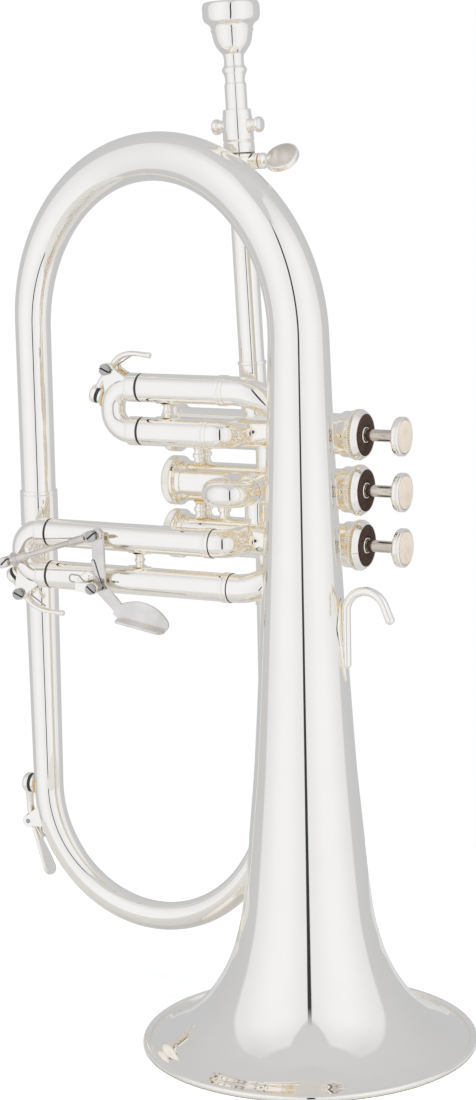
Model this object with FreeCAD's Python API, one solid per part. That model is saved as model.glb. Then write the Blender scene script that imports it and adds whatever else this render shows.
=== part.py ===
# Flugelhorn: conical bell and bows, three piston valves, three tuning slides, a sliding
# mouthpipe and a trigger for the third slide.
# Millimetres, +Z up. The horn stands on its bell mouth; the origin is the middle of that mouth,
# on the bell's axis. +X points to the finger buttons, -Y to the side that the slides are on.
import FreeCAD, Part
import math
import os

V = FreeCAD.Vector
X = V(1, 0, 0)
Y = V(0, 1, 0)
Z = V(0, 0, 1)
HALF = math.sqrt(0.5)

# ---- driving dimensions ----
WALL = 0.5                      # sheet and tube wall
BELL_RADIUS = 76.2              # a six inch bell
BEAD = 1.3                      # radius of the rolled rim wire
BEAD_Z = 1.1                    # its middle; the underside is worn flat where the bell rests
STEM_TOP = 319.4                # height where the bell stem meets the top bow
STEM_RADIUS = 13.5
LEG_X = -155.5                  # the long straight leg of the bell bow
LEG_RADIUS = 8.4
JOINT_Z = 240.0                 # ferrule between bell bow and lower bow
JOINT_RADIUS = 8.2
JOINT_SLEEVE = 17.0             # length of that ferrule
BOW_START_RADIUS = 7.1          # lower bow where the long leg begins to curve
BOW_START_Z = 95.6
BOW_MIDDLE_X = -96.4            # lowest point of the lower bow
BOW_MIDDLE_Z = 36.5
BOW_MIDDLE_RADIUS = 6.8
BOW_FINISH_Z = 107.8            # where the curve ends on the valve side
BOW_END_Z = 197.0               # ferrule between lower bow and third valve port
BOW_END_RADIUS = 6.3

VALVE_Y = 30.0
VALVE_Z = (274.5, 249.5, 224.5)
STROKE = 14.5
CASING_RADIUS = 9.2
VALVE_BORE = 8.3
PISTON_RADIUS = 8.25
CASING_BOTTOM = -78.0
CASING_TOP = 9.5
PISTON_BOTTOM = -57.0
PISTON_TOP = 7.5
STEM_ROD = 2.7
CAP_RADIUS = 11.45
COLLAR_RADIUS = 10.4
FELT_FACE = 18.0
BUTTON_BACK = 32.8
BUTTON_FACE = 37.0
BUTTON_RADIUS = 8.8
PORT_X = -37.3                  # airway in line with the leadpipe
KNUCKLE_X = -31.0               # airway between valves 1 and 2
BOW_PORT_X = -31.6              # airway from valve 3 down to the lower bow
PASSAGE = 4.4

SLIDE_Y = 10.0                  # plane of the first and third slides
SLIDE_PITCH = 20.0
LEG_OUT = 5.95                  # inner slide legs
LEG_IN = 5.35
SLEEVE_OUT = 6.55               # outer slide tubes
SLEEVE_IN = 6.0
NEAR_PORT_X = -41.5             # slide tube that turns straight into its casing
FAR_PORT_X = -18.0              # slide tube that turns in at 45 degrees
FIRST_CROOK_X = -91.6
THIRD_CROOK_X = -143.0
FERRULE_LENGTH = 5.8
FERRULE_OUT = 6.65
O_RING = 0.8
CROOK_OUT = 5.6
CROOK_IN = 5.1
CROOK_BEND = 9.0
CROOK_STUB = 1.0                # straight end of the crook inside its ferrule
SECOND_X = (-44.3, -30.3)
SECOND_OUT = 6.0
SECOND_IN = 5.0
SECOND_MOUTH_Y = 8.0

LEAN = 2.6                      # degrees that the leadpipe leans away from the bell
LEADPIPE_OUT = 5.75
LEADPIPE_IN = 5.2
MOUTHPIPE_OUT = 5.15

nodes = {}


# ---- small helpers ----
def rod(radius, start, end):
    return Part.makeCylinder(radius, (end - start).Length, start, end - start)


def pipe(outer, inner, start, end):
    return rod(outer, start, end).cut(rod(inner, start, end))


def ring_face(outer, inner, centre, normal):
    face = Part.Face(Part.Wire(Part.Circle(centre, normal, outer).toShape()))
    if inner > 0:
        face = face.cut(Part.Face(Part.Wire(Part.Circle(centre, normal, inner).toShape())))
    return face


def bend(outer, inner, start, direction, pivot, axis, angle):
    """A round tube bent about a pivot, beginning at start and heading along direction."""
    return ring_face(outer, inner, start, direction).revolve(pivot, axis, angle)


def join(first, *others):
    return first.fuse(list(others)).removeSplitter() if others else first


def turned(points, origin, axis, side):
    """Solid of revolution from (radius, distance along axis) corners."""
    corners = [origin + side * r + axis * h for r, h in points]
    wire = Part.makePolygon(corners + [corners[0]])
    return Part.Face(wire).revolve(origin, axis, 360)


def box(low, high):
    return Part.makeBox(high[0] - low[0], high[1] - low[1], high[2] - low[2], V(*low))


def plate(outline, low_y, high_y):
    """Flat plate in the XZ plane from (x, z) corners, between two Y planes."""
    corners = [V(x, low_y, z) for x, z in outline]
    face = Part.Face(Part.makePolygon(corners + [corners[0]]))
    return face.extrude(V(0, high_y - low_y, 0))


def bar(start, end, half_width, low_y, high_y):
    """Flat bar in the XZ plane from one (x, z) point to another."""
    dx = end[0] - start[0]
    dz = end[1] - start[1]
    length = math.hypot(dx, dz)
    nx = -dz / length * half_width
    nz = dx / length * half_width
    corners = [(start[0] + nx, start[1] + nz), (end[0] + nx, end[1] + nz),
               (end[0] - nx, end[1] - nz), (start[0] - nx, start[1] - nz)]
    return plate(corners, low_y, high_y)


def group(*solids):
    return Part.makeCompound(list(solids))


def add(name, shape):
    nodes[name] = shape


# ---- bell ----
# (radius, height) of the outside of the bell, from the stem to the rim
BELL_OUTLINE = [(STEM_RADIUS, STEM_TOP), (15.1, 271.0), (18.3, 205.0), (22.15, 140.0),
                (24.4, 112.0), (29.2, 65.5), (33.2, 46.6), (36.6, 37.0), (41.4, 27.6),
                (47.6, 18.8), (55.5, 11.3), (64.5, 6.0), (BELL_RADIUS - BEAD, BEAD_Z + BEAD)]


def bell_flare():
    outside = Part.BSplineCurve()
    outside.interpolate([V(r, 0, z) for r, z in BELL_OUTLINE])
    inner_points = []
    for r, z in BELL_OUTLINE[:-1]:
        here = V(r, 0, z)
        tangent = outside.tangent(outside.parameter(here))[0]
        normal = V(tangent.z, 0, -tangent.x)
        if normal.x > 0:
            normal = normal * -1
        inner_points.append(here + normal * WALL)
    inner_points[0] = V(STEM_RADIUS - WALL, 0, STEM_TOP)
    bead_left = V(BELL_RADIUS - 2 * BEAD, 0, BEAD_Z)
    inner_points.append(bead_left)
    inside = Part.BSplineCurve()
    inside.interpolate(inner_points)
    bead_middle = BELL_RADIUS - BEAD
    flat = math.sqrt(BEAD ** 2 - BEAD_Z ** 2)
    bead_top = V(bead_middle, 0, BEAD_Z + BEAD)
    bead_side = V(BELL_RADIUS, 0, BEAD_Z)
    flat_outer = V(bead_middle + flat, 0, 0)
    flat_inner = V(bead_middle - flat, 0, 0)
    diagonal = BEAD * HALF
    bead_inner = V(bead_middle - diagonal, 0, BEAD_Z - diagonal)
    top = Part.LineSegment(inner_points[0], V(STEM_RADIUS, 0, STEM_TOP))
    edges = [outside.toShape(), Part.Arc(bead_top, bead_side, flat_outer).toShape(),
             Part.LineSegment(flat_outer, flat_inner).toShape(),
             Part.Arc(flat_inner, bead_inner, bead_left).toShape(), inside.toShape(),
             top.toShape()]
    wire = Part.Wire(Part.__sortEdges__(edges))
    return Part.Face(wire).revolve(V(0, 0, 0), Z, 360)


def loft(sections):
    """Solid through (centre, normal, radius) circles."""
    wires = [Part.Wire(Part.Circle(c, n, r).toShape()) for c, n, r in sections]
    return Part.makeLoft(wires, True, False)


def quarter(centre, start_arm, end_arm, start_radius, end_radius, steps=6):
    """Circles along a quarter of an ellipse: its centre and the two arms to its ends."""
    sections = []
    for i in range(steps + 1):
        angle = math.pi / 2 * i / steps
        place = centre + start_arm * math.cos(angle) + end_arm * math.sin(angle)
        heading = end_arm * math.cos(angle) - start_arm * math.sin(angle)
        sections.append((place, heading, start_radius + (end_radius - start_radius) * i / steps))
    return sections


def hollow_bow(sections):
    return loft(sections).cut(loft([(c, n, r - WALL) for c, n, r in sections]))


def taper(start, end, start_radius, end_radius):
    axis = end - start
    outer = Part.makeCone(start_radius, end_radius, axis.Length, start, axis)
    inner = Part.makeCone(start_radius - WALL, end_radius - WALL, axis.Length, start, axis)
    return outer.cut(inner)


add("bell_flare", bell_flare())

# ---- bell bow: over the top from the bell to the long leg, then down to the ferrule ----
leg_top = V(LEG_X, VALVE_Y, STEM_TOP)
bow_centre = V(LEG_X / 2, VALVE_Y / 2, STEM_TOP)
bow_arm = V(0, 0, STEM_TOP) - bow_centre
bow_rise = Z * bow_arm.Length
bow_middle_radius = (STEM_RADIUS + LEG_RADIUS) / 2
bell_bow_sections = (quarter(bow_centre, bow_arm, bow_rise, STEM_RADIUS, bow_middle_radius)
                     + quarter(bow_centre, bow_rise, -bow_arm, bow_middle_radius, LEG_RADIUS)[1:])
joint = V(LEG_X, VALVE_Y, JOINT_Z)
joint_above = joint + Z * 5
add("bell_bow", join(hollow_bow(bell_bow_sections),
                     taper(leg_top, joint_above, LEG_RADIUS, JOINT_RADIUS),
                     pipe(JOINT_RADIUS, JOINT_RADIUS - WALL, joint_above, joint)))

# ---- lower bow, from the ferrule down, round and up to the third valve ----
joint_below = joint - Z * (JOINT_SLEEVE - 1)
low_left = V(LEG_X, VALVE_Y, BOW_START_Z)
low_right = V(BOW_PORT_X, VALVE_Y, BOW_FINISH_Z)
bow_end = V(BOW_PORT_X, VALVE_Y, BOW_END_Z)
left_centre = V(BOW_MIDDLE_X, VALVE_Y, BOW_START_Z)
right_centre = V(BOW_MIDDLE_X, VALVE_Y, BOW_FINISH_Z)
lower_bow_sections = (
    quarter(left_centre, low_left - left_centre, -Z * (BOW_START_Z - BOW_MIDDLE_Z),
            BOW_START_RADIUS, BOW_MIDDLE_RADIUS)
    + quarter(right_centre, -Z * (BOW_FINISH_Z - BOW_MIDDLE_Z), low_right - right_centre,
              BOW_MIDDLE_RADIUS, BOW_END_RADIUS)[1:])
add("lower_bow", join(pipe(JOINT_RADIUS, JOINT_RADIUS - WALL, joint_below, joint),
                      taper(joint_below, low_left, JOINT_RADIUS, BOW_START_RADIUS),
                      hollow_bow(lower_bow_sections),
                      pipe(BOW_END_RADIUS, BOW_END_RADIUS - WALL, low_right, bow_end)))
ferrules = [pipe(JOINT_RADIUS + 0.75, JOINT_RADIUS, joint_below, joint + Z),
            pipe(BOW_END_RADIUS + 0.6, BOW_END_RADIUS, bow_end - Z * 3, bow_end + Z * 3)]

# ---- valves ----


def valve_axis(i, x):
    return V(x, VALVE_Y, VALVE_Z[i])


# each entry: (x on the casing, unit direction out of the casing)
TOP_PORT = [(PORT_X, Z), (KNUCKLE_X, Z), (PORT_X, Z)]
BOTTOM_PORT = [(KNUCKLE_X, -Z), (PORT_X, -Z), (BOW_PORT_X, -Z)]
FRONT_PORTS = [[(NEAR_PORT_X, -Y), (FAR_PORT_X, V(0, -HALF, HALF))],
               [(SECOND_X[0], -Y), (SECOND_X[1], -Y)],
               [(NEAR_PORT_X, -Y), (FAR_PORT_X, V(0, -HALF, -HALF))]]


def casing(i):
    start = valve_axis(i, CASING_BOTTOM)
    end = valve_axis(i, CASING_TOP)
    shell = pipe(CASING_RADIUS, VALVE_BORE, start, end)
    for x, out in [TOP_PORT[i], BOTTOM_PORT[i]] + FRONT_PORTS[i]:
        centre = valve_axis(i, x)
        shell = shell.cut(rod(PASSAGE + 0.6, centre + out * 6, centre + out * (CASING_RADIUS + 1)))
    return shell


def piston(i):
    lower = valve_axis(i, PISTON_BOTTOM)
    body = rod(PISTON_RADIUS, lower, valve_axis(i, PISTON_TOP))
    body = body.cut(rod(PISTON_RADIUS - 0.9, lower, valve_axis(i, PISTON_BOTTOM + 9)))
    top_hollow = PISTON_TOP - 5
    body = body.cut(pipe(PISTON_RADIUS - 1.0, STEM_ROD, valve_axis(i, top_hollow),
                         valve_axis(i, PISTON_TOP)))
    top_x, up = TOP_PORT[i]
    bottom_x, down = BOTTOM_PORT[i]
    (near_x, near), (far_x, far) = FRONT_PORTS[i]
    far_end = (top_x, up)
    near_end = (bottom_x, down)
    if i == 2:
        far_end, near_end = near_end, far_end
    reach = PISTON_RADIUS + 1.5
    passages = [(valve_axis(i, top_x) + up * reach, valve_axis(i, bottom_x) + down * reach)]
    for (port_x, out), (side_x, side) in (((near_x, near), near_end), ((far_x, far), far_end)):
        passages.append((valve_axis(i, port_x + STROKE) + out * reach,
                         valve_axis(i, side_x + STROKE) + side * reach))
    for start, end in passages:
        body = body.cut(rod(PASSAGE, start, end))
    stem = rod(STEM_ROD, valve_axis(i, top_hollow), valve_axis(i, BUTTON_BACK))
    return join(body, stem)


def bottom_cap(i):
    origin = valve_axis(i, CASING_BOTTOM - 4.0)
    outline = [(0, 0.4), (5.0, 0), (CAP_RADIUS - 0.9, 0), (CAP_RADIUS, 0.9),
               (CAP_RADIUS, 5.6), (CAP_RADIUS - 0.8, 6.2), (COLLAR_RADIUS, 6.8),
               (COLLAR_RADIUS, 10.6), (COLLAR_RADIUS - 0.5, 11.2), (CASING_RADIUS, 11.2),
               (CASING_RADIUS, 4.0), (VALVE_BORE, 4.0), (VALVE_BORE, 2.2), (0, 2.2)]
    cap = turned(outline, origin, X, Z)
    return cap.cut(rod(1.6, origin, origin + X * 3))


def top_cap(i):
    origin = valve_axis(i, 2.5)
    outline = [(CASING_RADIUS, 0), (COLLAR_RADIUS - 0.4, 0), (COLLAR_RADIUS, 0.5),
               (COLLAR_RADIUS, 2.6), (CAP_RADIUS, 3.6), (CAP_RADIUS, 12.2),
               (CAP_RADIUS - 0.9, 13.2), (9.7, 13.2), (9.7, 12.2), (STEM_ROD + 0.25, 12.2),
               (STEM_ROD + 0.25, 7.8), (CASING_RADIUS, 7.8)]
    return turned(outline, origin, X, Z)


def button(i):
    origin = valve_axis(i, BUTTON_BACK)
    outline = [(0, 0), (4.0, 0), (BUTTON_RADIUS - 1.6, 0.5), (BUTTON_RADIUS - 0.4, 1.2),
               (BUTTON_RADIUS, 1.8), (BUTTON_RADIUS, 2.6), (BUTTON_RADIUS - 0.35, 2.9),
               (BUTTON_RADIUS, 3.2), (BUTTON_RADIUS, 3.7), (BUTTON_RADIUS - 0.5, 4.1),
               (7.55, 4.1), (7.55, 2.4), (0, 2.4)]
    return turned(outline, origin, X, Z)


def pearl(i):
    origin = valve_axis(i, BUTTON_BACK)
    outline = [(0, 2.4), (7.5, 2.4), (7.5, 3.9), (6.8, 4.2), (4.0, 4.35), (0, 4.4)]
    return turned(outline, origin, X, Z)


SPRING_RADIUS = 6.2
SPRING_WIRE = 0.45
SPRING_TURNS = 7
SPRING_STEPS = 16               # sections in each turn


def valve_spring(i):
    """Coil between the bottom cap and the piston, as short lengths of eight-sided wire."""
    low = CASING_BOTTOM - 1.8 + SPRING_WIRE + 0.05
    high = PISTON_BOTTOM + 9 - SPRING_WIRE - 0.1
    count = SPRING_TURNS * SPRING_STEPS
    rise = (high - low) / count
    turn = 2 * math.pi / SPRING_STEPS
    wires = []
    for k in range(count + 1):
        spoke = Y * math.cos(k * turn) + Z * math.sin(k * turn)
        across = X * SPRING_WIRE
        centre = valve_axis(i, low + k * rise) + spoke * SPRING_RADIUS
        corners = [centre + spoke * (SPRING_WIRE * math.cos(a)) + across * math.sin(a)
                   for a in [math.pi / 4 * j for j in range(8)]]
        wires.append(Part.makePolygon(corners + [corners[0]]))
    return Part.makeLoft(wires, True, True)


for i in range(3):
    number = str(i + 1)
    add("valve_casing_" + number, casing(i))
    add("piston_" + number, piston(i))
    add("finger_button_" + number, button(i))
    add("pearl_" + number, pearl(i))
    add("valve_spring_" + number, valve_spring(i))

add("bottom_caps", group(*[bottom_cap(i) for i in range(3)]))
add("top_caps", group(*[top_cap(i) for i in range(3)]))
add("top_felts", group(*[pipe(9.6, STEM_ROD + 0.3, valve_axis(i, 14.7), valve_axis(i, FELT_FACE))
                         for i in range(3)]))


def knuckle(i, x):
    """Airway between casing i and the one below it."""
    start = valve_axis(i, x)
    end = valve_axis(i + 1, x)
    tube = pipe(LEG_OUT, LEG_OUT - 0.7, start, end)
    for j in (i, i + 1):
        tube = tube.cut(rod(CASING_RADIUS, valve_axis(j, x - 8), valve_axis(j, x + 8)))
    return tube


def spacer(i, x, y, radius):
    """Short turned post between two casings, with a raised band at its waist."""
    start = V(x, y, VALVE_Z[i])
    end = V(x, y, VALVE_Z[i + 1])
    middle = (start + end) * 0.5
    post = rod(radius, start, end)
    band = rod(radius + 0.7, middle - Z * 0.9, middle + Z * 0.9)
    post = join(post, band)
    for j in (i, i + 1):
        post = post.cut(rod(CASING_RADIUS, valve_axis(j, x - 8), valve_axis(j, x + 8)))
    return post


# (valve, x, distance from the plane of the valves, radius)
SPACERS = [(0, -65.5, -3.2, 2.2), (0, -65.5, 3.2, 2.2), (1, -65.5, -3.2, 2.2),
           (1, -65.5, 3.2, 2.2), (1, -54.5, 0.0, 2.4)]
add("valve_knuckles", group(knuckle(0, KNUCKLE_X), knuckle(1, PORT_X),
                            *[spacer(i, x, VALVE_Y + dy, r) for i, x, dy, r in SPACERS]))


def port_stub(i, x, out, far, outer, inner):
    """Straight tube from a casing outwards."""
    centre = valve_axis(i, x)
    stub = pipe(outer, inner, centre, centre + out * far)
    return stub.cut(rod(CASING_RADIUS, valve_axis(i, x - 9), valve_axis(i, x + 9)))


add("third_valve_port", port_stub(2, BOW_PORT_X, -Z, VALVE_Z[2] - BOW_END_Z,
                                  BOW_END_RADIUS, BOW_END_RADIUS - WALL))


# ---- first and third slides ----
NEAR_BEND = 8.0
FAR_BEND = 20.0
NEAR_START = NEAR_PORT_X - NEAR_BEND
FAR_START = FAR_PORT_X - FAR_BEND
NEAR_Z = (VALVE_Z[0], VALVE_Z[2])
FAR_Z = (VALVE_Z[0] + SLIDE_PITCH, VALVE_Z[2] - SLIDE_PITCH)


def cut_at_casing(shape, i, x):
    return shape.cut(rod(CASING_RADIUS, valve_axis(i, x - 12), valve_axis(i, x + 12)))


def sleeve_end_ring(x, z):
    return pipe(SLEEVE_OUT + 0.45, SLEEVE_OUT, V(x - 4.2, SLIDE_Y, z), V(x - 0.2, SLIDE_Y, z))


def outer_slide(which, mouth_x):
    """Both outer tubes of a slide, with the elbows that turn into the valve casing."""
    i = 0 if which == 0 else 2
    side = 1 if which == 0 else -1
    near_z = NEAR_Z[which]
    far_z = FAR_Z[which]
    near_start = V(NEAR_START, SLIDE_Y, near_z)
    near = pipe(SLEEVE_OUT, SLEEVE_IN, V(mouth_x, SLIDE_Y, near_z), near_start)
    near_pivot = near_start + Y * NEAR_BEND
    elbow = bend(SLEEVE_OUT, SLEEVE_IN - 0.6, near_start, X, near_pivot, Z, 90)
    stub_start = V(NEAR_PORT_X, SLIDE_Y + NEAR_BEND, near_z)
    stub = pipe(SLEEVE_OUT, SLEEVE_IN - 0.6, stub_start, V(NEAR_PORT_X, VALVE_Y, near_z))
    near_tube = cut_at_casing(join(near, elbow, stub), i, NEAR_PORT_X)
    far_start = V(FAR_START, SLIDE_Y, far_z)
    far = pipe(SLEEVE_OUT, SLEEVE_IN, V(mouth_x, SLIDE_Y, far_z), far_start)
    inward = V(0, HALF, -side * HALF)
    far_pivot = far_start + inward * FAR_BEND
    far_elbow = bend(SLEEVE_OUT, SLEEVE_IN - 0.6, far_start, X, far_pivot, X.cross(inward), 90)
    corner = far_start + X * FAR_BEND + inward * FAR_BEND
    far_stub = pipe(SLEEVE_OUT, SLEEVE_IN - 0.6, corner, valve_axis(i, FAR_PORT_X))
    far_tube = cut_at_casing(join(far, far_elbow, far_stub), i, FAR_PORT_X)
    return near_tube, far_tube


def crook(crook_x, z_pair):
    """The U at the closed end of a slide: two quarter bends, a short run and two ferrules."""
    low = min(z_pair)
    high = max(z_pair)
    top_start = V(crook_x, SLIDE_Y, high)
    low_start = V(crook_x, SLIDE_Y, low)
    upper = bend(CROOK_OUT, CROOK_IN, top_start, -X, top_start - Z * CROOK_BEND, -Y, 90)
    lower = bend(CROOK_OUT, CROOK_IN, low_start, -X, low_start + Z * CROOK_BEND, Y, 90)
    run_x = crook_x - CROOK_BEND
    run = pipe(CROOK_OUT, CROOK_IN, V(run_x, SLIDE_Y, low + CROOK_BEND),
               V(run_x, SLIDE_Y, high - CROOK_BEND))
    stubs = [pipe(CROOK_OUT, CROOK_IN, end, end + X * CROOK_STUB) for end in (top_start, low_start)]
    bow = join(upper, run, lower, *stubs)
    rings = [join(pipe(FERRULE_OUT, CROOK_OUT, end, end + X * CROOK_STUB),
                  pipe(FERRULE_OUT, LEG_OUT, end + X * CROOK_STUB, end + X * FERRULE_LENGTH))
             for end in (top_start, low_start)]
    return group(bow, *rings)


def slide_legs(crook_x, z_pair, ends):
    return group(*[pipe(LEG_OUT, LEG_IN, V(crook_x + CROOK_STUB, SLIDE_Y, z), V(end, SLIDE_Y, z))
                   for z, end in zip(z_pair, ends)])


def slide_o_rings(crook_x, z_pair):
    start = crook_x + FERRULE_LENGTH
    end = start + O_RING
    return group(*[pipe(SLEEVE_OUT - 0.1, LEG_OUT, V(start, SLIDE_Y, z), V(end, SLIDE_Y, z))
                   for z in z_pair])


SLIDES = (("first", 0, FIRST_CROOK_X), ("third", 1, THIRD_CROOK_X))
BRACE_X = {"first": -71.8, "third": -88.7}
for slide_name, which, crook_x in SLIDES:
    z_pair = (NEAR_Z[which], FAR_Z[which])
    mouth_x = crook_x + FERRULE_LENGTH + O_RING
    add(slide_name + "_slide_tubes", group(*outer_slide(which, mouth_x)))
    add(slide_name + "_slide_crook", crook(crook_x, z_pair))
    add(slide_name + "_slide_legs", slide_legs(crook_x, z_pair, (NEAR_START - 1, FAR_START - 3)))
    add(slide_name + "_slide_o_rings", slide_o_rings(crook_x, z_pair))
    ferrules.append(sleeve_end_ring(NEAR_START, z_pair[0]))
    ferrules.append(sleeve_end_ring(FAR_START - 2.6, z_pair[1]))


def saddle(x, z, towards):
    """Diamond-shaped foot of a brace, wrapped on a slide tube; towards is +1 or -1 in Z."""
    shell = pipe(SLEEVE_OUT + 0.6, SLEEVE_OUT, V(x - 8, SLIDE_Y, z), V(x + 8, SLIDE_Y, z))
    corners = [V(x - 6.5, SLIDE_Y, z), V(x, SLIDE_Y - 4.6, z), V(x + 6.5, SLIDE_Y, z),
               V(x, SLIDE_Y + 4.6, z)]
    prism = Part.Face(Part.makePolygon(corners + [corners[0]])).extrude(Z * (towards * 10))
    return shell.common(prism)


def slide_brace(x, z_pair):
    low = min(z_pair)
    high = max(z_pair)
    post = rod(2.0, V(x, SLIDE_Y, low), V(x, SLIDE_Y, high))
    middle = (low + high) * 0.5
    post = join(post, rod(2.5, V(x, SLIDE_Y, middle - 2.4), V(x, SLIDE_Y, middle - 1.6)),
                rod(2.5, V(x, SLIDE_Y, middle + 1.6), V(x, SLIDE_Y, middle + 2.4)))
    for z in (low, high):
        post = post.cut(rod(SLEEVE_OUT, V(x - 8, SLIDE_Y, z), V(x + 8, SLIDE_Y, z)))
    return join(post, saddle(x, low, 1), saddle(x, high, -1))


braces = [slide_brace(BRACE_X[n], (NEAR_Z[w], FAR_Z[w])) for n, w, c in SLIDES]

# ---- second slide, pointing sideways ----
second_z = VALVE_Z[1]
add("second_slide_tubes", group(*[join(
    cut_at_casing(pipe(SECOND_OUT, SECOND_IN + 0.55, V(x, SECOND_MOUTH_Y, second_z),
                       V(x, VALVE_Y, second_z)), 1, x),
    pipe(SECOND_OUT + 0.4, SECOND_OUT, V(x, SECOND_MOUTH_Y, second_z),
         V(x, SECOND_MOUTH_Y + 2.2, second_z))) for x in SECOND_X]))
second_middle = sum(SECOND_X) / 2
SECOND_CROOK_Y = SECOND_MOUTH_Y - 4.5
left_foot = V(SECOND_X[0], SECOND_CROOK_Y, second_z)
second_bow = join(
    bend(SECOND_OUT, SECOND_IN, left_foot, -Y, V(second_middle, SECOND_CROOK_Y, second_z), Z, 180),
    *[pipe(SECOND_OUT, SECOND_IN, V(x, SECOND_CROOK_Y, second_z),
           V(x, SECOND_MOUTH_Y - 0.3, second_z)) for x in SECOND_X])
second_legs = [pipe(SECOND_IN + 0.5, SECOND_IN, V(x, SECOND_MOUTH_Y - 0.3, second_z),
                    V(x, VALVE_Y - CASING_RADIUS - 0.6, second_z)) for x in SECOND_X]
add("second_slide_crook", group(second_bow, *second_legs))


# ---- leadpipe, mouthpipe and mouthpiece: drawn upright, then leaned ----
def leaned(shape):
    shape.rotate(V(0, 0, 0), Y, -LEAN)
    shape.translate(V(PORT_X, VALVE_Y, VALVE_Z[0]))
    return shape


LEADPIPE_TOP = 124.4
RECEIVER_LOW = 125.0
RECEIVER_TOP = 144.2
SCREW_HEIGHT = 120.8
BOSS_END = 10.0
lower_leadpipe = pipe(LEADPIPE_OUT + 0.35, LEADPIPE_IN, V(0, 0, 0), V(0, 0, 30.0))
upper_leadpipe = pipe(LEADPIPE_OUT, LEADPIPE_IN, V(0, 0, 30.0), V(0, 0, LEADPIPE_TOP))
screw_hole = rod(1.55, V(3, 0, SCREW_HEIGHT), V(BOSS_END + 1, 0, SCREW_HEIGHT))
leadpipe = leaned(join(lower_leadpipe, upper_leadpipe).cut(screw_hole))
add("leadpipe", cut_at_casing(leadpipe, 0, PORT_X))
clamp = join(pipe(6.6, LEADPIPE_OUT, V(0, 0, 113.0), V(0, 0, LEADPIPE_TOP)),
             rod(3.6, V(0, 0, SCREW_HEIGHT), V(BOSS_END, 0, SCREW_HEIGHT)))
clamp = clamp.cut(rod(LEADPIPE_OUT, V(0, 0, 110), V(0, 0, LEADPIPE_TOP + 1))).cut(screw_hole)
add("leadpipe_clamp", leaned(join(clamp)))
ferrules.append(leaned(pipe(LEADPIPE_OUT + 0.75, LEADPIPE_OUT, V(0, 0, 30.0), V(0, 0, 31.6))))
add("ferrules", group(*ferrules))

SHANK = 4.9


def mouthpipe():
    inner = pipe(MOUTHPIPE_OUT, MOUTHPIPE_OUT - 0.5, V(0, 0, 78.0), V(0, 0, RECEIVER_LOW))
    shell = turned([(7.0, RECEIVER_LOW), (7.0, 129.2), (6.7, 130.0), (7.05, 130.8), (6.95, 132.0),
                    (6.7, 139.5), (6.25, RECEIVER_TOP - 0.4), (6.05, RECEIVER_TOP),
                    (SHANK + 0.03, RECEIVER_TOP), (SHANK + 0.03, 128.0),
                    (MOUTHPIPE_OUT - 0.5, 127.0), (MOUTHPIPE_OUT - 0.5, RECEIVER_LOW)],
                   V(0, 0, 0), Z, X)
    body = join(inner, shell)
    for side in (-1, 1):
        at = V(0, 0, 135.6)
        neck = rod(2.0, at + X * (6.0 * side), at + X * (9.0 * side))
        head = turned([(0, 0), (2.3, 0), (3.1, 0.7), (3.1, 2.0), (2.2, 2.9), (0, 3.1)],
                      at + X * (9.0 * side), X * side, Z)
        body = join(body, neck, head)
    return body


add("mouthpipe", leaned(mouthpipe()))

MOUTHPIECE_OUTSIDE = [(11.4, 191.5), (12.4, 190.6), (12.8, 188.8), (12.7, 184.6), (11.9, 182.8),
                      (10.1, 181.6), (9.3, 179.9), (8.95, 176.8), (8.3, 173.8), (7.3, 171.6),
                      (5.7, 169.4), (4.75, 168.2), (4.4, 166.2), (4.6, 163.4), (5.45, 162.1),
                      (5.65, 161.4), (5.4, 160.5), (4.75, 159.4), (4.4, 157.6), (4.4, 155.9),
                      (SHANK, 155.3), (SHANK, 128.4), (4.6, 127.6)]
MOUTHPIECE_INSIDE = [(4.05, 127.6), (3.9, 131.0), (2.3, 158.0), (2.2, 162.5), (3.4, 167.8),
                     (5.0, 171.6), (6.6, 176.0), (7.6, 181.0), (8.2, 187.0), (8.6, 189.4),
                     (9.8, 191.2)]
add("mouthpiece", leaned(turned(MOUTHPIECE_OUTSIDE + MOUTHPIECE_INSIDE, V(0, 0, 0), Z, X)))


def lock_screw():
    at = V(0, 0, SCREW_HEIGHT)
    shank = rod(1.5, at + X * (LEADPIPE_OUT + 0.1), at + X * (BOSS_END + 0.3))
    collar = turned([(0, 0), (3.2, 0), (3.6, 0.5), (3.6, 2.2), (3.0, 2.8), (2.6, 4.4), (0, 4.4)],
                    at + X * (BOSS_END + 0.2), X, Z)
    middle = at + X * 21.2
    normal = V(0, -0.69, 0.72)
    paddle = rod(7.6, middle - normal * 1.4, middle + normal * 1.4)
    neck = rod(2.2, at + X * (BOSS_END + 4), middle - X * 5.5)
    return join(shank, collar, neck, paddle)


add("lock_screw", leaned(lock_screw()))


# ---- water keys ----
KEY_HUB = 2.4
KEY_PIN = 1.1
PIN_HOLE = 1.15


def polar(centre, angle, distance):
    return (centre[0] + distance * math.cos(math.radians(angle)),
            centre[1] + distance * math.sin(math.radians(angle)))


def at_y(point, y):
    return V(point[0], y, point[1])


def key_stack(seat, out, radius, tube):
    """Nipple, cork and cup of a water key, stacked outwards from a seat on the tube."""
    nipple_end = seat + out * 2.4
    nipple = pipe(radius, radius - 1.0, seat, nipple_end).cut(tube)
    cork_end = nipple_end + out * 2.1
    cork = rod(radius - 0.1, nipple_end + out * 0.05, cork_end)
    cup = rod(radius + 0.4, cork_end, cork_end + out * 1.7)
    return nipple, cork, cup, cork_end + out * 0.85


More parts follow.
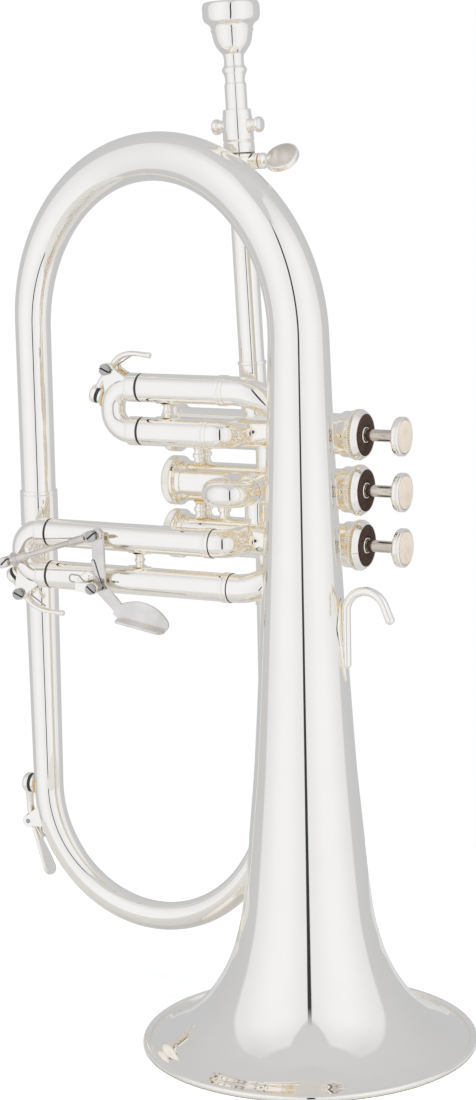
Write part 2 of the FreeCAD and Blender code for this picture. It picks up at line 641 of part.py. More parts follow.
def key_ears(root, pivot, middle_y, tube):
    """Two ears of the saddle with the pin hole through both."""
    ears = []
    for low, high in ((-4.4, -2.9), (2.9, 4.4)):
        ear = join(bar(root, pivot, 3.0, middle_y + low, middle_y + high),
                   rod(3.0, at_y(pivot, middle_y + low), at_y(pivot, middle_y + high)))
        ears.append(ear)
    base_in = (root[0] + (pivot[0] - root[0]) * 0.45, root[1] + (pivot[1] - root[1]) * 0.45)
    base = join(bar(root, base_in, 3.0, middle_y - 4.4, middle_y + 4.4), *ears)
    hole = rod(KEY_PIN, at_y(pivot, middle_y - 6), at_y(pivot, middle_y + 6))
    clearance = rod(KEY_HUB + 0.5, at_y(pivot, middle_y - 2.9), at_y(pivot, middle_y + 2.9))
    return base.cut(tube).cut(hole).cut(clearance)


def key_screw(pivot, middle_y):
    """Slotted screw that is the key's axle, with a nut at its far end."""
    head_face = middle_y - 6.4
    screw = join(rod(KEY_PIN, at_y(pivot, middle_y - 4.6), at_y(pivot, middle_y + 6.6)),
                 rod(2.5, at_y(pivot, head_face), at_y(pivot, middle_y - 4.4)),
                 rod(1.9, at_y(pivot, middle_y + 6.4), at_y(pivot, middle_y + 7.2)))
    slot = box((pivot[0] - 3, head_face - 0.1, pivot[1] - 0.35),
               (pivot[0] + 3, head_face + 0.7, pivot[1] + 0.35))
    return screw.cut(slot)


def key_lever(pivot, middle_y, cup, cup_middle, path, tip):
    """Cup, arm, hub and touchpiece of a water key as one casting."""
    arm = bar((cup_middle.x, cup_middle.z), pivot, 1.5, middle_y - 1.5, middle_y + 1.5)
    hub = rod(KEY_HUB, at_y(pivot, middle_y - 2.7), at_y(pivot, middle_y + 2.7))
    touch = []
    for a, b in zip(path, path[1:]):
        touch.append(bar(a, b, 0.95, middle_y - 1.6, middle_y + 1.6))
    for p in path[1:-1]:
        touch.append(rod(0.95, at_y(p, middle_y - 1.6), at_y(p, middle_y + 1.6)))
    lever = join(hub, cup, arm, tip, *touch)
    return lever.cut(rod(PIN_HOLE, at_y(pivot, middle_y - 6), at_y(pivot, middle_y + 6)))


def slide_key(prefix, crook_x, outer_z, side, angle, drop, touch):
    """Water key at the corner of a crook: side is +1 above a slide and -1 below it, angle is the
    way that the nipple points, drop is how far the pivot is outside the tube's middle line, and
    touch lists the corners of the touchpiece from the pivot."""
    corner = (crook_x, outer_z - side * CROOK_BEND)
    out = V(math.cos(math.radians(angle)), 0, math.sin(math.radians(angle)))
    seat = at_y(polar(corner, angle, CROOK_BEND + CROOK_OUT - 0.8), SLIDE_Y)
    tube_start = V(crook_x, SLIDE_Y, outer_z)
    tube = join(bend(CROOK_OUT, 0, tube_start, -X, at_y(corner, SLIDE_Y), Y * (-side), 90),
                rod(FERRULE_OUT, tube_start, tube_start + X * 12))
    nipple, cork, cup, cup_middle = key_stack(seat, out, 3.9, tube)
    pivot = (crook_x - 9.9, outer_z + side * drop)
    root = (crook_x - 3.0, outer_z + side * 4.0)
    base = key_ears(root, pivot, SLIDE_Y, tube)
    path = [(pivot[0] + u, pivot[1] + side * v) for u, v in touch]
    tip = Part.makeSphere(1.9, at_y(path[-1], SLIDE_Y))
    add(prefix + "_key_saddle", group(nipple, base))
    add(prefix + "_key_screw", key_screw(pivot, SLIDE_Y))
    add(prefix + "_key_spring", pipe(2.6, KEY_PIN + 0.3, at_y(pivot, SLIDE_Y + 4.6),
                                     at_y(pivot, SLIDE_Y + 6.2)))
    add(prefix + "_key_lever", key_lever(pivot, SLIDE_Y, cup, cup_middle, path, tip).cut(cork))
    add(prefix + "_key_cork", cork)


slide_key("first", FIRST_CROOK_X, FAR_Z[0], 1, 163, 8.2,
          ((0, 0), (4.5, 5.0), (9.5, 7.0), (14.0, 7.2), (20.2, 6.6)))
slide_key("third", THIRD_CROOK_X, FAR_Z[1], -1, 217, 9.8,
          ((0, 0), (4.5, 5.0), (9.5, 7.4), (14.0, 8.2), (20.8, 8.6)))

# water key on the lower bow, a larger one with a leaf-shaped touchpiece
BOW_KEY_Z = 95.0
BOW_PIVOT = (-165.6, 76.5)


def bow_key():
    leg = Part.makeCone(BOW_START_RADIUS, JOINT_RADIUS, (joint_below - low_left).Length, low_left, Z)
    tube = join(loft(lower_bow_sections), leg)
    seat = V(LEG_X - BOW_START_RADIUS + 0.9, VALVE_Y, BOW_KEY_Z)
    nipple, cork, cup, cup_middle = key_stack(seat, -X, 4.5, tube)
    x, z = BOW_PIVOT
    base = key_ears((x + 8.0, z - 0.5), BOW_PIVOT, VALVE_Y, tube)
    path = [BOW_PIVOT, (x + 1.0, z - 7.0), (x + 5.5, z - 19.0), (x + 10.5, z - 27.5)]
    leaf = bar(path[-2], path[-1], 0.9, VALVE_Y - 4.0, VALVE_Y + 4.0)
    add("bow_key_saddle", group(nipple, base))
    add("bow_key_pin", rod(KEY_PIN, at_y(BOW_PIVOT, VALVE_Y - 4.7), at_y(BOW_PIVOT, VALVE_Y + 4.7)))
    add("bow_key_lever", key_lever(BOW_PIVOT, VALVE_Y, cup, cup_middle, path, leaf).cut(cork))
    add("bow_key_cork", cork)


bow_key()


# ---- trigger of the third slide ----
LEVER_PIVOT = (-105.5, 202.5)
LEVER_TOP = (-105.8, 226.8)
ROD_END = (-153.8, 211.5)
LEVER_LOW_Y = 0.5
LEVER_HIGH_Y = 2.0
ROD_Y = -3.2
ROD_THICK = 1.7                 # thickness of the flat eyes of the rod
OPEN_PIVOT_HOLE = 1.9           # the rod's eye at the lever, loose on its screw
SCREW = 1.1
HEAD_THICK = 1.9
ROD_FRONT = ROD_Y - ROD_THICK / 2
ROD_BACK = ROD_Y + ROD_THICK / 2
HEAD_SEAT = ROD_FRONT - 0.15    # underside of the two screw heads that hold the rod
BRACKET_FRONT = -6.0
BRACKET_BACK = -4.6


def slotted_head(point, back_y, radius=2.4):
    face_y = back_y - HEAD_THICK
    head = rod(radius, at_y(point, face_y), at_y(point, back_y))
    slot = box((point[0] - 3, face_y - 0.1, point[1] - 0.35),
               (point[0] + 3, face_y + 0.6, point[1] + 0.35))
    return head.cut(slot)


def through(point, radius, low_y=-12, high_y=12):
    return rod(radius, at_y(point, low_y), at_y(point, high_y))


def along(start, end, share):
    return (start[0] + (end[0] - start[0]) * share, start[1] + (end[1] - start[1]) * share)


def trigger_rod():
    def piece(radius, first, last):
        return rod(radius, at_y(along(ROD_END, LEVER_TOP, first), ROD_Y),
                   at_y(along(ROD_END, LEVER_TOP, last), ROD_Y))

    eyes = [rod(2.5, at_y(ROD_END, ROD_FRONT), at_y(ROD_END, ROD_BACK)),
            rod(2.9, at_y(LEVER_TOP, ROD_FRONT), at_y(LEVER_TOP, ROD_BACK))]
    tongues = [bar(ROD_END, along(ROD_END, LEVER_TOP, 0.12), 1.9, ROD_FRONT, ROD_BACK),
               bar(along(ROD_END, LEVER_TOP, 0.88), LEVER_TOP, 1.8, ROD_FRONT, ROD_BACK)]
    shaft = piece(1.25, 0.1, 0.9)
    collar = piece(2.0, 0.06, 0.24)
    sleeve = piece(1.8, 0.74, 0.93)
    body = join(shaft, collar, sleeve, *eyes, *tongues)
    for end, hole, space in ((ROD_END, SCREW + 0.05, 2.6), (LEVER_TOP, OPEN_PIVOT_HOLE, 3.9)):
        body = body.cut(through(end, hole))
        body = body.cut(through(end, space, high_y=ROD_FRONT)).cut(through(end, space, low_y=ROD_BACK))
    return body


def trigger_lever():
    upright = bar(LEVER_PIVOT, LEVER_TOP, 3.0, LEVER_LOW_Y, LEVER_HIGH_Y)
    hub = rod(3.4, at_y(LEVER_PIVOT, LEVER_LOW_Y), at_y(LEVER_PIVOT, LEVER_HIGH_Y))
    top = rod(3.0, at_y(LEVER_TOP, LEVER_LOW_Y), at_y(LEVER_TOP, LEVER_HIGH_Y))
    arm = bar(LEVER_PIVOT, (-94.5, 190.5), 3.2, LEVER_LOW_Y, LEVER_HIGH_Y)
    edge = [at_y(p, LEVER_LOW_Y) for p in ((-97.5, 188.5), (-92.0, 194.3), (-84.0, 195.2),
                                           (-75.0, 192.2), (-69.2, 186.2), (-72.0, 181.2))]
    rim = Part.BSplineCurve()
    rim.interpolate(edge)
    base = Part.LineSegment(edge[-1], edge[0])
    face = Part.Face(Part.Wire([rim.toShape(), base.toShape()]))
    paddle = face.extrude(Y * (LEVER_HIGH_Y - LEVER_LOW_Y))
    lip = bar((-95.0, 185.2), (-72.0, 181.2), 0.75, -3.4, LEVER_HIGH_Y)
    tab = bar((-107.0, 206.2), (-109.8, 213.5), 0.8, -0.4, LEVER_LOW_Y + 0.5)
    casting = join(upright, hub, top, arm, paddle, lip, tab)
    casting = casting.cut(through(LEVER_PIVOT, SCREW + 0.05)).cut(through(LEVER_TOP, SCREW))
    collar = rod(2.4, at_y(LEVER_TOP, ROD_BACK + 0.1), at_y(LEVER_TOP, LEVER_LOW_Y))
    screw = join(rod(SCREW, at_y(LEVER_TOP, HEAD_SEAT - 0.2), at_y(LEVER_TOP, LEVER_HIGH_Y)), collar,
                 slotted_head(LEVER_TOP, HEAD_SEAT, 2.7))
    return group(casting, screw)


def trigger_bracket():
    """Foot on the lower sleeve, a plate in front of the lever, and the pivot screw."""
    x, z = LEVER_PIVOT
    foot = box((x - 12.5, BRACKET_FRONT, z - 2.6), (x - 7.0, 6.0, z + 2.4))
    foot = foot.cut(rod(SLEEVE_OUT, V(x - 20, SLIDE_Y, FAR_Z[1]), V(x, SLIDE_Y, FAR_Z[1])))
    front = box((x - 12.5, BRACKET_FRONT, z - 2.6), (x, BRACKET_BACK, z + 2.4))
    nose = rod(2.6, at_y(LEVER_PIVOT, BRACKET_FRONT), at_y(LEVER_PIVOT, BRACKET_BACK))
    frame = join(foot, front, nose).cut(through(LEVER_PIVOT, SCREW))
    screw = join(through(LEVER_PIVOT, SCREW, BRACKET_FRONT - 0.2, LEVER_HIGH_Y + 0.6),
                 slotted_head(LEVER_PIVOT, BRACKET_FRONT, 2.6))
    return group(frame, screw)


add("trigger_bracket", trigger_bracket())
add("trigger_lever", trigger_lever())
add("trigger_rod", trigger_rod())
add("trigger_spring", pipe(2.3, SCREW + 0.3, at_y(LEVER_PIVOT, BRACKET_BACK + 0.2),
                           at_y(LEVER_PIVOT, LEVER_LOW_Y - 0.2)))


def rod_lug():
    """Post on the crook that carries the rod's screw."""
    post = rod(2.2, at_y(ROD_END, ROD_BACK + 0.1), at_y(ROD_END, 8.0))
    start = V(THIRD_CROOK_X, SLIDE_Y, FAR_Z[1])
    pivot = start + Z * CROOK_BEND
    solid = join(bend(CROOK_OUT, 0, start, -X, pivot, Y, 90),
                 rod(CROOK_OUT, pivot - X * CROOK_BEND, pivot - X * CROOK_BEND + Z * 10))
    screw = join(rod(SCREW, at_y(ROD_END, HEAD_SEAT - 0.2), at_y(ROD_END, ROD_BACK + 0.2)),
                 slotted_head(ROD_END, HEAD_SEAT))
    return join(post.cut(solid), screw)


add("rod_lug", rod_lug())

# ---- finger hook ----
HOOK_WIRE = 2.0
HOOK_X = 21.2
HOOK_BEND_Z = 200.2
HOOK_BEND = 9.6
HOOK_TURN = 160.0


def bell_core():
    """The bell without its hollow, to trim what is soldered on it."""
    outside = Part.BSplineCurve()
    outside.interpolate([V(r, 0, z) for r, z in BELL_OUTLINE])
    high = V(0, 0, STEM_TOP)
    low = V(0, 0, BELL_OUTLINE[-1][1])
    rim = V(BELL_OUTLINE[-1][0], 0, low.z)
    wire = Part.Wire([outside.toShape(), Part.LineSegment(rim, low).toShape(),
                      Part.LineSegment(low, high).toShape(),
                      Part.LineSegment(high, V(STEM_RADIUS, 0, STEM_TOP)).toShape()])
    return Part.Face(wire).revolve(V(0, 0, 0), Z, 360)


core = bell_core()


def finger_hook():
    foot = V(HOOK_X, 0, 176.5)
    stem_top = V(HOOK_X, 0, HOOK_BEND_Z)
    stem = rod(HOOK_WIRE, foot, stem_top)
    pivot = stem_top + X * HOOK_BEND
    curve = bend(HOOK_WIRE, 0, stem_top, Z, pivot, Y, HOOK_TURN)
    turned_by = math.radians(HOOK_TURN)
    end = pivot + V(-math.cos(turned_by), 0, math.sin(turned_by)) * HOOK_BEND
    turn = math.pi - turned_by
    tip = end + V(math.sin(turn), 0, -math.cos(turn)) * 6.0
    flange = box((14.0, -4.2, 168.5), (HOOK_X - 0.6, 4.2, 206.0))
    limit = bell_core()
    limit.translate(X * 0.9)
    flange = flange.common(limit)
    hook = join(stem, Part.makeSphere(HOOK_WIRE, foot), curve, rod(HOOK_WIRE, end, tip),
                Part.makeSphere(HOOK_WIRE, tip), flange)
    return hook.cut(core)


add("finger_hook", finger_hook())


# ---- braces that tie the valves and the leadpipe to the bell ----
def bell_brace(i):
    x = -3.5
    z = VALVE_Z[i]
    shell = bell_core()
    shell.translate(Y * 0.9)
    disc = rod(5.0, V(x, 8, z), V(x, VALVE_Y - CASING_RADIUS - 1.5, z)).common(shell)
    foot = pipe(CASING_RADIUS + 0.7, CASING_RADIUS, V(x - 6, VALVE_Y, z), V(x + 5, VALVE_Y, z))
    foot = foot.common(rod(4.6, V(x, 12, z), V(x, VALVE_Y - 4, z)))
    post = rod(2.0, V(x, 10, z), V(x, VALVE_Y, z))
    post = post.cut(rod(CASING_RADIUS, V(x - 9, VALVE_Y, z), V(x + 9, VALVE_Y, z)))
    return join(post, disc, foot).cut(core)


for i in (0, 2):
    braces.append(bell_brace(i))

BOW_BRACE_HEIGHT = 110.5
bow_brace = leaned(rod(2.2, V(0, -22, BOW_BRACE_HEIGHT), V(0, -5, BOW_BRACE_HEIGHT)).cut(
    rod(LEADPIPE_OUT, V(0, 0, 100), V(0, 0, 130))))
braces.append(bow_brace.cut(loft(bell_bow_sections)))
add("braces", group(*braces))

for name, shape in nodes.items():
    print("%-22s solids %d valid %s volume %.1f" % (name, len(shape.Solids), shape.isValid(), shape.Volume))
print(len(nodes), "nodes")
os.makedirs("parts", exist_ok=True)
for name, shape in nodes.items():
    shape.exportStep("parts/" + name + ".step")
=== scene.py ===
# Looks of the flugelhorn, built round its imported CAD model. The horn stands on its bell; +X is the
# way the finger buttons face and -Y is the side of the tuning slides.
from math import asin, atan2, cos, pi, radians, sin, sqrt
import bpy
from mathutils import Matrix, Vector


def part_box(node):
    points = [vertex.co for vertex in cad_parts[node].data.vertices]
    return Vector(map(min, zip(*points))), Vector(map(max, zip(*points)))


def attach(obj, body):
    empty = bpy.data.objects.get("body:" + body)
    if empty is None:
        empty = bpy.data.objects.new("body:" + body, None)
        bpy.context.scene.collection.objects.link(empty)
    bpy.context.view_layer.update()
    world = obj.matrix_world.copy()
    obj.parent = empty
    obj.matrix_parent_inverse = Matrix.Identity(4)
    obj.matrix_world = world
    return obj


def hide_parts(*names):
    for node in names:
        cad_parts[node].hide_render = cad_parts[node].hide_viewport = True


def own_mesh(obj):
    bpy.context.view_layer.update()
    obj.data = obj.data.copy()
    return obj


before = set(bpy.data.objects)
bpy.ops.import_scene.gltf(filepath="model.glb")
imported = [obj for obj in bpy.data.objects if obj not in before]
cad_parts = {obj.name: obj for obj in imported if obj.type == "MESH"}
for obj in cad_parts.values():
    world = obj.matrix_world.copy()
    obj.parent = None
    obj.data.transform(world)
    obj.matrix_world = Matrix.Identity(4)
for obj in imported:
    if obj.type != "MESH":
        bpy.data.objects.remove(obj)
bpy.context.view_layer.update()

MM = 0.001
X = Vector((1, 0, 0))
Y = Vector((0, 1, 0))
Z = Vector((0, 0, 1))


def corners(node):
    """Lowest and highest corner of a CAD node, in millimetres."""
    low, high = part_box(node)
    return low / MM, high / MM


def middle(node):
    low, high = corners(node)
    return (low + high) / 2


# ---- sizes and places, from the frame and a few driving dimensions ----
VALVES = [middle("valve_casing_%d" % n) for n in (1, 2, 3)]
VALVE_Y = VALVES[0].y
VALVE_Z = [v.z for v in VALVES]
CASING_RADIUS = 9.2
VALVE_BORE = 8.35
CASING_LOW = corners("valve_casing_1")[0].x
CASING_HIGH = corners("valve_casing_1")[1].x
CAP_RADIUS = 11.45
COLLAR_RADIUS = 10.4
STEM_RADIUS = 2.7
BUTTON_BACK = 32.8
BUTTON_RADIUS = 8.8

BELL_TOP = corners("bell_flare")[1].z
BELL_RADIUS = corners("bell_flare")[1].x
BELL_WALL = 0.5
BEAD = 1.7
BEAD_Z = 1.1
THROAT = 13.5                   # bell radius where the top bow begins
LEG_X = -155.5
LEG_RADIUS = 8.4
JOINT_Z = 240.0
JOINT_RADIUS = 8.2
SLEEVE_LOW = 224.0
BOW_START_Z = 95.6
BOW_START_RADIUS = 7.1
BOW_MIDDLE_X = -96.4
BOW_MIDDLE_Z = 36.5
BOW_MIDDLE_RADIUS = 6.8
BOW_FINISH_Z = 107.8
BOW_PORT_X = -31.6
BOW_END_Z = 197.0
BOW_END_RADIUS = 6.3

SLIDE_Y = middle("first_slide_legs").y
PITCH = 20.0
LEG_OUT = 5.95
SLEEVE_OUT = 6.55
FERRULE_OUT = 6.65
FERRULE_LENGTH = 5.8
CROOK_OUT = 5.6
CROOK_BEND = 9.0
RING_WIDTH = 0.8
FIRST_CROOK_X = corners("first_slide_legs")[0].x - 1.0
THIRD_CROOK_X = corners("third_slide_legs")[0].x - 1.0
NEAR_PORT_X = -41.5
FAR_PORT_X = -18.0
NEAR_BEND = 8.0
FAR_BEND = 20.0
SECOND_X = (-44.3, -30.3)
SECOND_MOUTH = 8.0
SECOND_OUT = 6.0
LEADPIPE_OUT = 5.75
LEADPIPE_FOOT_OUT = 6.1
LEADPIPE_FOOT_END = 30.0        # heights on the leadpipe's axis
LEADPIPE_END = 124.4
CLAMP_HEIGHT = 113
PIPE_BRACE_HEIGHT = 110.5
KNOB_HEIGHT = 136.9
SCREW_HEIGHT = 120.8
PORT_X = -37.3
KNUCKLE_X = -31.0
SLIDE_BRACE_X = (-71.8, -88.7)
STEM_BRACE_X = -3.5

LEAN = radians(2.6)
LEAN_X = Vector((cos(LEAN), 0, sin(LEAN)))
LEAN_Z = Vector((-sin(LEAN), 0, cos(LEAN)))
LEAN_FOOT = Vector((PORT_X, VALVE_Y, VALVE_Z[0]))


def leaned(height, across=0.0):
    """Point on the leadpipe's leaning axis, or to its right."""
    return LEAN_FOOT + LEAN_Z * height + LEAN_X * across


def on_slides(x, z):
    """Point in the plane of the two long slides."""
    return Vector((x, SLIDE_Y, z))


def on_valves(x, z):
    """Point in the plane of the valves and the bows."""
    return Vector((x, VALVE_Y, z))


# ---- curves ----
def spline(points, steps=8):
    """Smooth curve through points of any dimension."""
    out = []
    last = len(points) - 1
    for i in range(last):
        a, b = points[i], points[i + 1]
        before = points[max(i - 1, 0)]
        after = points[min(i + 2, last)]
        for k in range(steps):
            t = k / steps
            out.append(tuple(
                0.5 * (2 * b0 + (c0 - a0) * t + (2 * a0 - 5 * b0 + 4 * c0 - d0) * t * t
                       + (3 * b0 - a0 - 3 * c0 + d0) * t ** 3)
                for a0, b0, c0, d0 in zip(before, a, b, after)))
    out.append(tuple(points[-1]))
    return out


def softened(points, radius=0.25, steps=3):
    """A polyline with its inner corners rounded."""
    out = [tuple(points[0])]
    for before, here, after in zip(points, points[1:], points[2:]):
        here, before, after = Vector(here), Vector(before), Vector(after)
        back, on = before - here, after - here
        cut = min(radius, back.length * 0.45, on.length * 0.45)
        start = here + back.normalized() * cut
        end = here + on.normalized() * cut
        for k in range(steps + 1):
            t = k / steps
            out.append(tuple(start * (1 - t) ** 2 + here * (2 * t * (1 - t)) + end * t * t))
    out.append(tuple(points[-1]))
    return out


def arc(centre, start_arm, end_arm, steps=16, turn=pi / 2):
    """Points on an ellipse from one arm towards the other."""
    return [centre + start_arm * cos(turn * k / steps) + end_arm * sin(turn * k / steps)
            for k in range(steps + 1)]


def line(start, end, steps=6):
    return [start.lerp(end, k / steps) for k in range(steps + 1)]


def path_of(*runs):
    """One list of points from several, without the doubled ends."""
    out = list(runs[0])
    for run in runs[1:]:
        out += run[1:] if (run[0] - out[-1]).length < 1e-4 else run
    return out


def stepped(radius, offsets):
    """Outline points given as (distance out from a radius, height)."""
    return [(radius + out, height) for out, height in offsets]


def round_angles(count):
    """Equal steps of angle round a circle."""
    return [2 * pi * k / count for k in range(count)]


def fan(radius, first, last, steps, centre=(0, 0)):
    """Points (across, up) of a plane arc from one angle to another."""
    return [(centre[0] + radius * cos(a), centre[1] + radius * sin(a))
            for a in taper(first, last, steps)]


def smooth_path(points, steps=6):
    """A spline through points in space, as vectors."""
    return [Vector(p) for p in spline(points, steps)]


def taper(first, last, steps):
    """Equal steps from one number to another, with both ends."""
    return [first + (last - first) * k / steps for k in range(steps + 1)]


def side_of(axis):
    """A unit vector square to an axis."""
    helper = Z if abs(axis.z) < 0.9 else X
    return axis.cross(helper).normalized()


# ---- mesh building ----
class Piece:
    """Collects the faces of one object."""

    def __init__(self):
        self.points = []
        self.faces = []

    def rings(self, rows, first_cap=True, last_cap=True):
        """Joins equal closed rings of points; a ring of one point is a tip."""
        ids = []
        for row in rows:
            start = len(self.points)
            self.points += row
            ids.append(list(range(start, start + len(row))))
        for a, b in zip(ids, ids[1:]):
            count = max(len(a), len(b))
            for k in range(count):
                n = (k + 1) % count
                quad = [a[k % len(a)], a[n % len(a)], b[n % len(b)], b[k % len(b)]]
                face = list(dict.fromkeys(quad))
                if len(face) > 2:
                    self.faces.append(face)
        if first_cap and len(ids[0]) > 2:
            self.faces.append(ids[0][::-1])
        if last_cap and len(ids[-1]) > 2:
            self.faces.append(ids[-1])
        return self

    def ring(self, profile, origin, axis, segments=64, knurl=None):
        """Turns a closed outline, for a part with a hole through it."""
        return self.lathe(list(profile) + [profile[0]], origin, axis, segments, knurl, False)

    def lathe(self, profile, origin, axis, segments=64, knurl=None, caps=True):
        """Turns (radius, height) points round an axis. knurl is (low, high, teeth, depth)."""
        axis = axis.normalized()
        u = side_of(axis)
        v = axis.cross(u)
        if knurl:
            segments = knurl[2] * 4
        rows = []
        for radius, height in profile:
            if radius < 1e-6:
                rows.append([origin + axis * height])
                continue
            row = []
            for angle in round_angles(segments):
                r = radius
                if knurl and knurl[0] <= height <= knurl[1]:
                    r -= knurl[3] * (1 - abs(sin(angle * knurl[2] / 2)))
                row.append(origin + axis * height + (u * cos(angle) + v * sin(angle)) * r)
            rows.append(row)
        return self.rings(rows, caps, caps)

    def tube(self, path, radius, segments=40, flat=1.0, side=None, first_cap=True, last_cap=True):
        """Sweeps a circle, or an oval that is flat times as thick, along a path. radius is a
        number or one for each point."""
        count = len(path)
        radii = radius if isinstance(radius, (list, tuple)) else [radius] * count
        rows = []
        u = None
        for i, here in enumerate(path):
            heading = (path[min(i + 1, count - 1)] - path[max(i - 1, 0)]).normalized()
            if side is not None:
                u = side
            elif u is None:
                u = side_of(heading)
            u = (u - heading * u.dot(heading)).normalized()
            v = heading.cross(u)
            rows.append([here + (u * cos(a) + v * (sin(a) * flat)) * radii[i]
                         for a in round_angles(segments)])
        return self.rings(rows, first_cap, last_cap)

    def ball(self, centre, radius, segments=24):
        return self.lathe(fan(radius, -pi / 2, pi / 2, 12), centre, Z, segments)

    def slab(self, outline, origin, u, v, thickness, edge=0.3):
        """Plate with rounded edges from (along u, along v) points, centred on its thickness."""
        w = u.cross(v).normalized()
        flat = [Vector(p) for p in outline]
        area = sum(a.x * b.y - a.y * b.x for a, b in zip(flat, flat[1:] + flat[:1]))
        if area < 0:
            flat.reverse()
        count = len(flat)
        inward = []
        for k in range(count):
            run = (flat[(k + 1) % count] - flat[k - 1]).normalized()
            inward.append(Vector((-run.y, run.x)))
        half = thickness / 2
        edge = min(edge, half)
        levels = []
        for k in range(5):
            a = pi / 2 * k / 4
            levels.append((edge * (1 - sin(a)), -half + edge * (1 - cos(a))))
        levels += [(inset, -h) for inset, h in reversed(levels)]
        rows = []
        for inset, h in levels:
            moved = [p + n * inset for p, n in zip(flat, inward)]
            rows.append([origin + u * p.x + v * p.y + w * h for p in moved])
        return self.rings(rows)

    def bar(self, start, end, start_half, end_half, side, thickness, edge=0.3):
        """Flat bar with round ends between two points, lying square to side."""
        run = end - start
        u = run.normalized()
        outline = fan(start_half, pi / 2, 3 * pi / 2, 12)
        outline += fan(end_half, -pi / 2, pi / 2, 12, (run.length, 0))
        return self.slab(outline, start, u, side.cross(u), thickness, edge)

    def saddle(self, centre, axis, out, tube_radius, half_length, half_width, height=0.7,
               pointed=True):
        """Thin plate wrapped on a tube, pointed like a diamond or oval."""
        across = axis.cross(out)
        rings = []
        for share, lift in ((1.0, -0.3), (1.0, 0.35), (0.93, 0.8), (0.8, 1.0), (0.4, 1.0)):
            row = []
            for a in round_angles(48):
                c, s = cos(a), sin(a)
                size = 1.0
                if pointed:
                    size = 1.0 / (abs(c) ** 1.25 + abs(s) ** 1.25) ** 0.8
                along = half_length * c * size * share
                turn = half_width * s * size * share / tube_radius
                r = tube_radius + height * lift
                row.append(centre + axis * along + out * (r * cos(turn))
                           + across * (r * sin(turn)))
            rings.append(row)
        return self.rings(rings, False, True)

    def coil(self, start, axis, radius, wire, turns, length):
        """Wire wound round an axis, in 20 steps for each turn."""
        u = side_of(axis)
        v = axis.cross(u)
        count = int(turns * 20)
        path = []
        for k in range(count + 1):
            a = 2 * pi * k / 20
            path.append(start + axis * (length * k / count) + (u * cos(a) + v * sin(a)) * radius)
        return self.tube(path, wire, 10)

    def solder(self, centre, out, tube_radius, casing_radius, bead=0.35):
        """Fillet where a round tube meets a casing that lies along X."""
        across = X.cross(out)
        path = []
        for a in round_angles(48) + [2 * pi]:
            w = tube_radius * sin(a)
            path.append(centre + X * (tube_radius * cos(a)) + across * w
                        + out * sqrt(casing_radius ** 2 - w * w))
        return self.tube(path, bead, 8, first_cap=False, last_cap=False)

    def finish(self, name, stands_for=(), body="horn", finish="silver", sharp=40):
        """Makes the object; it stands for the CAD nodes named in stands_for."""
        mesh = bpy.data.meshes.new(name)
        mesh.from_pydata([p * MM for p in self.points], [], self.faces)
        mesh.validate()
        mesh.polygons.foreach_set("use_smooth", [True] * len(mesh.polygons))
        mesh.set_sharp_from_angle(angle=radians(sharp))
        mesh.materials.append(FINISHES[finish])
        piece = bpy.data.objects.new(name, mesh)
        bpy.context.scene.collection.objects.link(piece)
        weighted = piece.modifiers.new("weighted", "WEIGHTED_NORMAL")
        weighted.keep_sharp = True
        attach(piece, body)
        if stands_for:
            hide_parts(*stands_for)
        return piece


# ---- materials ----
def new_material(name, color, metallic, roughness):
    material = bpy.data.materials.new(name)
    material.use_nodes = True
    shader = material.node_tree.nodes["Principled BSDF"]
    wire_up(material.node_tree, shader, Base_Color=(*color, 1), Metallic=metallic, Roughness=roughness)
    return material, material.node_tree, shader


def plug(tree, socket, value):
    """Links another node's output to a socket, or sets the socket to a number or color."""
    if isinstance(value, bpy.types.NodeSocket):
        tree.links.new(value, socket)
    else:
        socket.default_value = value


def wire_up(tree, node, **sockets):
    """Plugs values into a node's sockets, whose names are written with _ for a space."""
    for name, value in sockets.items():
        plug(tree, node.inputs[name.replace("_", " ")], value)
    return node


def add_node(tree, kind, **sockets):
    return wire_up(tree, tree.nodes.new("ShaderNode" + kind), **sockets)


def noise(tree, scale, detail=4.0, stretch=(1, 1, 1)):
    """Noise in the object's own metres; scale is features per metre."""
    place = add_node(tree, "TexCoord").outputs["Object"]
    stretched = add_node(tree, "Mapping", Vector=place, Scale=stretch).outputs["Vector"]
    return add_node(tree, "TexNoise", Vector=stretched, Scale=scale, Detail=detail).outputs["Fac"]


def spread(tree, value, low, high):
    """Maps noise of about 0.3 to 0.7 onto a range."""
    return add_node(tree, "MapRange", Value=value, From_Min=0.3, From_Max=0.7,
                    To_Min=low, To_Max=high).outputs["Result"]


def blend_colors(tree, value, first, second):
    mix = tree.nodes.new("ShaderNodeMix")
    mix.data_type = "RGBA"
    for socket, color in ((mix.inputs[6], first), (mix.inputs[7], second)):
        plug(tree, socket, (*color, 1) if isinstance(color, tuple) else color)
    plug(tree, mix.inputs[0], value)
    return mix.outputs[2]


def bump(tree, shader, height, distance):
    node = add_node(tree, "Bump", Height=height, Distance=distance, Strength=1.0)
    wire_up(tree, shader, Normal=node.outputs["Normal"])


def silver_plate():
    """Bright plate: faint clouding, warm painted shade in corners, polishing marks and a slight wave."""
    bright = (0.985, 0.945, 0.868)
    clouded = (0.970, 0.927, 0.843)
    corner_shade_warmth = (0.93, 0.86, 0.73)
    material, tree, shader = new_material("silver_plate", bright, 1.0, 0.05)
    clouds = spread(tree, noise(tree, 60, 5), 0.0, 1.0)
    plate = blend_colors(tree, clouds, bright, clouded)
    # painted shade: ambient occlusion blends the colour towards a darker, warmer tone in tight corners,
    # standing in for the warm interreflections there
    corner = add_node(tree, "AmbientOcclusion", Distance=0.004)
    corner.samples = 4
    painted_shade_share = spread(tree, corner.outputs["AO"], 1.0, 0.0)
    wire_up(tree, shader, Base_Color=blend_colors(tree, painted_shade_share, plate, corner_shade_warmth),
            Roughness=spread(tree, noise(tree, 240, 6), 0.015, 0.05))
    bump(tree, shader, noise(tree, 30, 2), 0.00004)
    return material


